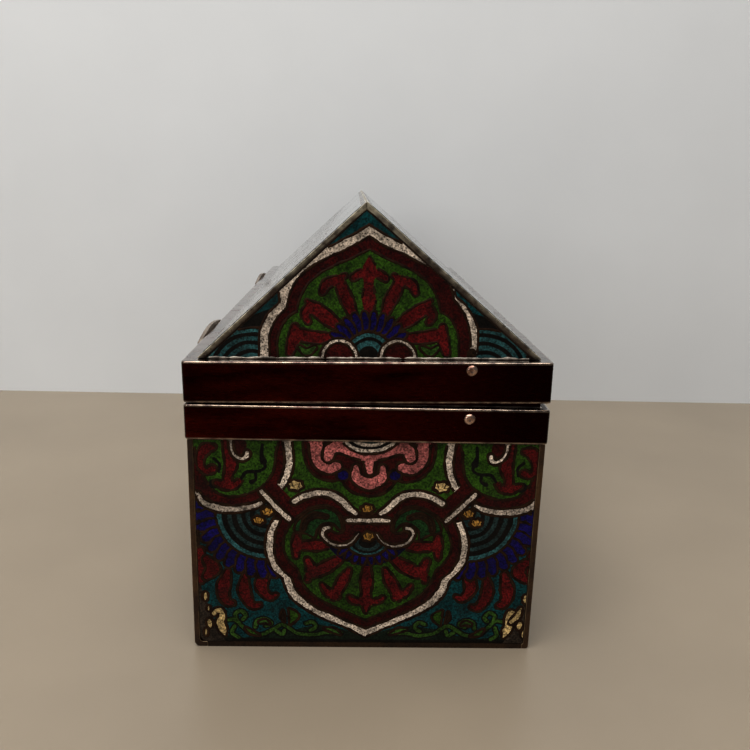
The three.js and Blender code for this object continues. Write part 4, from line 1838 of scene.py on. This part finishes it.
@dataclass
class BoxBody:
    """The body: base, two long walls with curled feet, two end plaques and the rim band."""

    finishes: Finishes
    margin: float = 2.2
    gap: float = 0.15
    left_foot: float = 4.2
    right_foot: float = 2.2
    curl: float = 2.3
    ledge: float = 82.0
    rim: Extent = field(default_factory=lambda: Extent.of_node("body_rim_band"))
    left: Extent = field(default_factory=lambda: Extent.of_node("body_left_wall"))
    right: Extent = field(default_factory=lambda: Extent.of_node("body_right_wall"))
    plaque: Extent = field(default_factory=lambda: Extent.of_node("body_front_plaque"))

    def wall(self, side: int, extent: Extent, foot_radius: float) -> None:
        """A long wall: an upright plate whose foot curls under.

        Args:
            side: -1 on the hinge side, +1 on the other.
            extent: the frame's wall.
            foot_radius: outer radius of the curled foot.
        """
        outer = extent.high[0] if side > 0 else extent.low[0]
        top, foot = extent.high[2], extent.low[2]
        toe = outer - side * foot_radius
        inner_radius = foot_radius - PLATE
        inner = outer - side * PLATE
        corners = [
            (outer, top, 0.3), (inner, top, 0.25), (inner, foot + PLATE, max(inner_radius, 0.2)),
            (toe, foot + PLATE, 0.2), (toe, foot, 0.2), (outer, foot, foot_radius),
        ]
        section = Section.rounded(corners, steps=6)
        x, z = section.points.T
        inside_foot = (side * (outer - x) > 0.9 * PLATE) & (z > foot + 0.9 * PLATE) & (z < top - 1.0)
        section.wear[inside_foot] = 0.0
        shell = run_along_y(section, extent.low[1], extent.high[1])
        side_name = "left" if side < 0 else "right"
        piece = shell.to_object(f"body_{side_name}_plate")
        node = f"body_{side_name}_wall"
        finish_piece(piece, self.finishes.edge, "box_body", "enamel_plate", node)

    def band(self) -> None:
        """The rim band with the low lip that the lid drops over."""
        top, foot = self.ledge, self.rim.low[2]
        section = Section.rounded([
            (0.0, foot, 0.45), (0.0, top, 0.5), (2.5, top, 0.15),
            (2.5, self.rim.high[2], 0.3), (3.8, self.rim.high[2], 0.3), (3.8, foot, 0.3),
        ])
        Band(
            "body_rim_band_cast", "box_body", "body_rim_band", section,
            self.rim.high[0], self.rim.high[1], seed=1.0, nicks=((39.0, top, 0.9, 0.45),),
        ).build(self.finishes.band)

    def end_field(self) -> Array:
        """The outline of an end plaque, a hair inside its edges.

        Returns:
            The closed outline.
        """
        low, high = self.plaque.low + self.gap, self.plaque.high - self.gap
        left, foot, right, top = low[0], low[2], high[0], high[2]
        turn = np.radians(np.linspace(180, 270, 7))[:, None]
        middle = np.array([left, foot]) + self.curl
        curl = middle + self.curl * np.hstack([np.cos(turn), np.sin(turn)])
        corners = [*map(tuple, curl), (right, foot), (right, top), (left, top)]
        return polygon(corners)

    def enamel(self) -> None:
        """The four enamelled faces."""
        front = self.plaque.low[1]
        outline = self.end_field()
        drawing = EndPlaqueDrawing().draw()
        glass, wire = self.finishes.glass, self.finishes.wire
        EnamelFace(
            "body_front", "box_body", Placement((0, front, 0), (1, 0, 0), UPRIGHT),
            outline, Enamel.TEAL, drawing, seed=0.3,
        ).build(glass, wire)
        back_outline = outline * FLIP
        EnamelFace(
            "body_back", "box_body", Placement((0, -front, 0), (-1, 0, 0), UPRIGHT),
            back_outline[::-1], Enamel.TEAL, drawing, seed=5.1, wire_step=0.8,
        ).build(glass, wire)
        length = self.left.high[1] - self.margin
        for name, extent, side, foot in (("left", self.left, -1, 6.0), ("right", self.right, 1, 4.2)):
            face = extent.low[0] if side < 0 else extent.high[0]
            top = extent.high[2] - 1.0
            field_outline = polygon([(-length, foot), (length, foot), (length, top), (-length, top)])
            EnamelFace(
                f"body_{name}", "box_body", Placement((face, 0, 0), (0, side, 0), UPRIGHT),
                field_outline, Enamel.TEAL, BayDrawing(BAYS, 0.0, True).draw(),
                seed=2.0 + side, wire_step=1.0,
            ).build(glass, wire)

    def build(self) -> None:
        """Builds everything that stays still when the lid turns."""
        self.wall(-1, self.left, self.left_foot)
        self.wall(1, self.right, self.right_foot)
        self.band()
        Rivet("body_rivet_head", "box_body", "body_rivet").build(self.finishes.copper)
        self.enamel()
        for node in ("base_plate", "body_front_plaque", "body_back_plaque"):
            dress_node(node, self.finishes.base)


@dataclass
class Lid:
    """The lid: a flanged band, two slopes that meet at the ridge, and two gables."""

    finishes: Finishes
    margin: float = 2.2
    bead_radius: float = 0.42
    bead_step: float = 0.6
    rounding: float = 0.19
    rim: Extent = field(default_factory=lambda: Extent.of_node("lid_rim_band", LID_AJAR))
    gable: Extent = field(default_factory=lambda: Extent.of_node("lid_front_gable", LID_AJAR))
    left: Extent = field(default_factory=lambda: Extent.of_node("lid_left_slope", LID_AJAR))
    right: Extent = field(default_factory=lambda: Extent.of_node("lid_right_slope", LID_AJAR))

    def band(self) -> None:
        """The lid's band: a skirt and the flange under the roof."""
        top, foot = self.rim.high[2], self.rim.low[2]
        section = Section.rounded([
            (0.0, foot, 0.4), (0.0, top, 0.45), (6.8, top, 0.2),
            (6.8, top - 1.2, 0.2), (2.1, top - 1.2, 0.5), (2.1, foot, 0.3),
        ])
        # the flange's top is lightened towards worn metal all over: partly wear, partly a painted highlight
        # for its pale sheen
        ledge = section.points[:, 1] > top - 0.01
        section.wear[ledge] = np.maximum(section.wear[ledge], 0.3)
        Band(
            "lid_rim_band_cast", "lid", "lid_rim_band", section, self.rim.high[0],
            self.rim.high[1], tilt=LID_AJAR, seed=3.0, nicks=((53.6, 84.5, 1.3, 0.5),),
        ).build(self.finishes.band)

    def slope_line(self, side: int) -> tuple[Array, Array]:
        """The foot and the top of a slope's outer face, in x and z.

        Args:
            side: -1 on the hinge side, +1 on the other.

        Returns:
            The foot and the top.
        """
        extent = self.left if side < 0 else self.right
        foot_x = extent.low[0] if side < 0 else extent.high[0]
        top_x = extent.high[0] if side < 0 else extent.low[0]
        return np.array([foot_x, extent.low[2]]), np.array([top_x, extent.high[2]])

    def slope(self, side: int) -> None:
        """A sloping plate with softly worn edges, mitred at the ridge.

        Args:
            side: -1 on the hinge side, +1 on the other.
        """
        foot, top = self.slope_line(side)
        run = np.abs(top - foot)
        angle = np.arctan2(run[1], run[0])
        inner_foot = (foot[0] - side * PLATE / np.sin(angle), foot[1], 0.2)
        inner_top = (top[0], top[1] - PLATE / np.cos(angle), 0.2)
        corners = [(*foot, 0.2), (*top, 0.2), inner_top, inner_foot]
        section = Section.rounded(corners, spacing=2.5)
        extent = self.left if side < 0 else self.right
        shell = run_along_y(section, extent.low[1], extent.high[1], LID_AJAR, self.rounding)
        level = turn_about_hinge(shell.points / MM, -LID_AJAR)[:, ::2] - foot
        along = (top - foot) / np.hypot(*(top - foot))
        depth = np.abs(level[:, 0] * along[1] - level[:, 1] * along[0])
        wear = shell.wear.reshape(-1, len(section.points))
        wear[[0, -1]] = 0.4
        wear[[1, -2]] = 0.8
        shell.wear = np.where(depth > 0.5, 0.0, wear.ravel())
        shell.wear = np.maximum(shell.wear, self.worn_tip(shell.points / MM, top[1]))
        name = "left" if side < 0 else "right"
        piece = shell.to_object(f"lid_{name}_slope_plate")
        finish_piece(piece, self.finishes.roof_edge, "lid", "enamel_plate", f"lid_{name}_slope")

    def worn_tip(self, points: Array, ridge: float) -> Array:
        """How bright the two ends of the ridge are rubbed: most at the very tip.

        Args:
            points: (n, 3) millimetres.
            ridge: the height of the ridge.

        Returns:
            The rub of each point.
        """
        below = ridge + 0.8 - points[:, 2]
        behind = self.left.high[1] - np.abs(points[:, 1])
        return np.clip(1.3 - below / 2.6, 0.0, 1.0) * np.clip(1.6 - behind / 3.0, 0.15, 1.0)

    def solder(self, name: str, side: int) -> None:
        """The rough bead that seals the foot of a gable to the flange.

        It is a half-round bead along the foot. Its radius and its height stray by slow waves.

        Args:
            name: the piece's name.
            side: +1 at the front, -1 at the back.
        """
        x = np.arange(self.gable.low[0] + 1.0, self.gable.high[0] - 1.0, self.bead_step)
        along = np.column_stack([x, np.full(len(x), 3.0 * side)])
        radius = self.bead_radius + drift(along, 0.16, 7.3, 1.0) + drift(along, 0.12, 2.9, 2.0)
        rise = drift(along, 0.12, 9.1, 3.0)
        angle = np.linspace(0.0, 2 * np.pi, 10, endpoint=False)
        face = self.gable.low[1] + 0.1
        points = np.stack(
            [
                np.broadcast_to(x[:, None], (len(x), len(angle))),
                side * (face + 0.25 * rise[:, None] + radius[:, None] * np.cos(angle)),
                self.gable.low[2] + 0.25 + rise[:, None] + radius[:, None] * np.sin(angle),
            ],
            axis=-1,
        )
        wear = np.broadcast_to(np.clip(-np.cos(angle), 0.0, 1.0), points.shape[:2])
        piece = tube(lay(points, LID_AJAR), wear).to_object(name)
        finish_piece(piece, self.finishes.solder, "lid", "bare_bronze")

    def gable_field(self) -> Array:
        """The outline of a gable, a hair inside its edges.

        Returns:
            The closed outline.
        """
        peak_x = self.slope_line(-1)[1][0]
        left, right, foot = self.gable.low[0], self.gable.high[0], self.gable.low[2]
        top = self.gable.high[2]
        return polygon(
            [(left + 0.5, foot + 0.15), (right - 0.5, foot + 0.15), (peak_x, top - 0.25)]
        )

    def enamel(self) -> None:
        """The two gables and the two slopes."""
        glass, wire = self.finishes.glass, self.finishes.wire
        outline = self.gable_field()
        front = self.gable.low[1]
        drawing = GableDrawing().draw()
        EnamelFace(
            "lid_front_gable", "lid", Placement((0, front, 0), (1, 0, 0), UPRIGHT, LID_AJAR),
            outline, Enamel.TEAL, drawing, seed=0.9, wire_half_width=0.45,
        ).build(glass, wire)
        EnamelFace(
            "lid_back_gable", "lid", Placement((0, -front, 0), (-1, 0, 0), UPRIGHT, LID_AJAR),
            (outline * FLIP)[::-1], Enamel.TEAL, drawing, seed=4.4, wire_step=0.8,
        ).build(glass, wire)
        for name, side in (("left", -1), ("right", 1)):
            foot, top = self.slope_line(side)
            rise = np.array([top[0] - foot[0], 0.0, top[1] - foot[1]])
            height = np.hypot(rise[0], rise[2])
            length = self.left.high[1] - self.margin
            low, high = self.margin, height - self.margin
            field_outline = polygon([(-length, low), (length, low), (length, high), (-length, high)])
            place = Placement((foot[0], 0, foot[1]), (0, side, 0), tuple(rise / height), LID_AJAR)
            EnamelFace(
                f"lid_{name}_slope", "lid", place, field_outline, Enamel.TEAL,
                BayDrawing(BAYS, height, False).draw(), seed=6.0 + side, wire_step=1.0,
                wire_height=0.03,
            ).build(self.finishes.roof_glass, self.finishes.roof_wire)

    def build(self) -> None:
        """Builds everything that turns with the lid."""
        self.band()
        self.slope(-1)
        self.slope(1)
        Rivet("lid_rivet_head", "lid", "lid_rivet", LID_AJAR).build(self.finishes.copper)
        self.solder("lid_front_solder", 1)
        self.solder("lid_back_solder", -1)
        self.enamel()
        for node in ("lid_front_gable", "lid_back_gable"):
            dress_node(node, self.finishes.base)


@dataclass
class StrapHinges:
    """The two hinges on the left long side, kept as the frame has them."""

    finishes: Finishes

    def build(self) -> None:
        """Dresses the leaves and the pins."""
        for end in ("front", "back"):
            for part in ("body_leaf", "lid_leaf", "pin"):
                dress_node(f"{end}_hinge_{part}", self.finishes.hinge)


def dress_node(node: str, material: Material) -> None:
    """Gives a frame node that is kept as it is a better material.

    Args:
        node: the node's name.
        material: its finish.
    """
    piece = frame["nodes"][node]
    for slot in piece.material_slots:
        slot.link = "OBJECT"
        slot.material = material
    LOG.info("%s: kept from the frame", node)


# ---- stage ----


@dataclass
class Studio:
    """A pale floor, a pale backdrop, soft lights and the camera."""

    camera_place: tuple[float, float, float] = (-4.817, -338.822, 147.558)
    pitch: float = 14.549
    yaw: float = 1.759
    roll: float = 1.502
    lens: float = 36.0
    backdrop: float = 168.0
    backdrop_height: float = 1800.0
    floor_reach: float = 2600.0

    def sheet(self, name: str, corners: list[tuple[float, float, float]], finish: StageFinish) -> None:
        """A flat sheet through four corners in millimetres.

        Args:
            name: the sheet's name.
            corners: its corners in turn.
            finish: its finish.
        """
        mesh = bpy.data.meshes.new(name)
        mesh.from_pydata((np.array(corners) * MM).tolist(), [], [(0, 1, 2, 3)])
        piece = bpy.data.objects.new(name, mesh)
        piece.data.materials.append(finish.build())
        bpy.context.scene.collection.objects.link(piece)

    def surfaces(self) -> None:
        """The floor and the wall behind it."""
        reach, back = self.floor_reach, self.backdrop
        floor = [(-reach, -reach, 0), (reach, -reach, 0), (reach, reach, 0), (-reach, reach, 0)]
        top = self.backdrop_height
        wall = [(-reach, back, 0), (reach, back, 0), (reach, back, top), (-reach, back, top)]
        pale_floor = StageFinish("pale_floor", (0.252, 0.208, 0.155), roughness=0.34)
        pale_wall = StageFinish(
            "pale_wall", (0.695, 0.70, 0.695), roughness=0.7, variation=0.02, one_sided=True
        )
        self.sheet("floor", floor, pale_floor)
        self.sheet("backdrop", wall, pale_wall)

    def light(self, name: str, place: tuple, target: tuple, size: float, power: float) -> None:
        """One soft square light of so many watts, aimed at a point.

        Args:
            name: the light's name.
            place: its place in millimetres.
            target: the point that it is aimed at.
            size: the length of its side.
            power: its watts.
        """
        data = bpy.data.lights.new(name, "AREA")
        data.size = size * MM
        data.energy = power
        lamp = bpy.data.objects.new(name, data)
        lamp.location = Vector(place) * MM
        aim = (Vector(target) - Vector(place)).to_track_quat("-Z", "Y")
        lamp.rotation_euler = aim.to_euler()
        bpy.context.scene.collection.objects.link(lamp)

    def lights(self) -> None:
        """A broad light overhead, a weaker one from the front left, and a dim even sky."""
        self.light("overhead", (-200, -380, 1400), target=(0, 60, 60), size=1300, power=33.0)
        self.light("front_left", (-1100, -1300, 700), target=(0, 0, 60), size=900, power=6.0)
        world = bpy.data.worlds.new("soft_room")
        world.use_nodes = True
        background = world.node_tree.nodes["Background"]
        background.inputs["Color"].default_value = (0.9, 0.93, 1.0, 1.0)
        background.inputs["Strength"].default_value = 0.22
        bpy.context.scene.world = world

    def camera(self) -> None:
        """The camera, turned by its pitch, yaw and roll."""
        pitch, yaw, roll = np.radians([self.pitch, self.yaw, self.roll])
        ahead = np.array([np.sin(yaw) * np.cos(pitch), np.cos(yaw) * np.cos(pitch), -np.sin(pitch)])
        right = np.array([np.cos(yaw), -np.sin(yaw), 0.0])
        up = np.cross(right, ahead)
        rolled = right * np.cos(roll) + up * np.sin(roll)
        top = -right * np.sin(roll) + up * np.cos(roll)
        turn = np.eye(4)
        turn[:3, 0], turn[:3, 1], turn[:3, 2] = rolled, top, -ahead
        turn[:3, 3] = np.array(self.camera_place) * MM
        data = bpy.data.cameras.new("camera")
        data.sensor_width = 36.0
        data.lens = self.lens
        view = bpy.data.objects.new("camera", data)
        view.matrix_world = Matrix(turn.tolist())
        bpy.context.scene.collection.objects.link(view)
        bpy.context.scene.camera = view

    def build(self) -> None:
        """Sets up the whole stage."""
        bpy.context.scene.view_settings.view_transform = "Standard"
        bpy.context.scene.view_settings.gamma = 0.82
        self.surfaces()
        self.lights()
        self.camera()


def main() -> None:
    """Builds the stage, the body, the lid and the hinges."""
    logging.basicConfig(level=logging.INFO, format="%(name)s: %(message)s")
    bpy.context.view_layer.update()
    Studio().build()
    finishes = Finishes()
    BoxBody(finishes).build()
    Lid(finishes).build()
    StrapHinges(finishes).build()


if __name__ == "__main__":
    main()
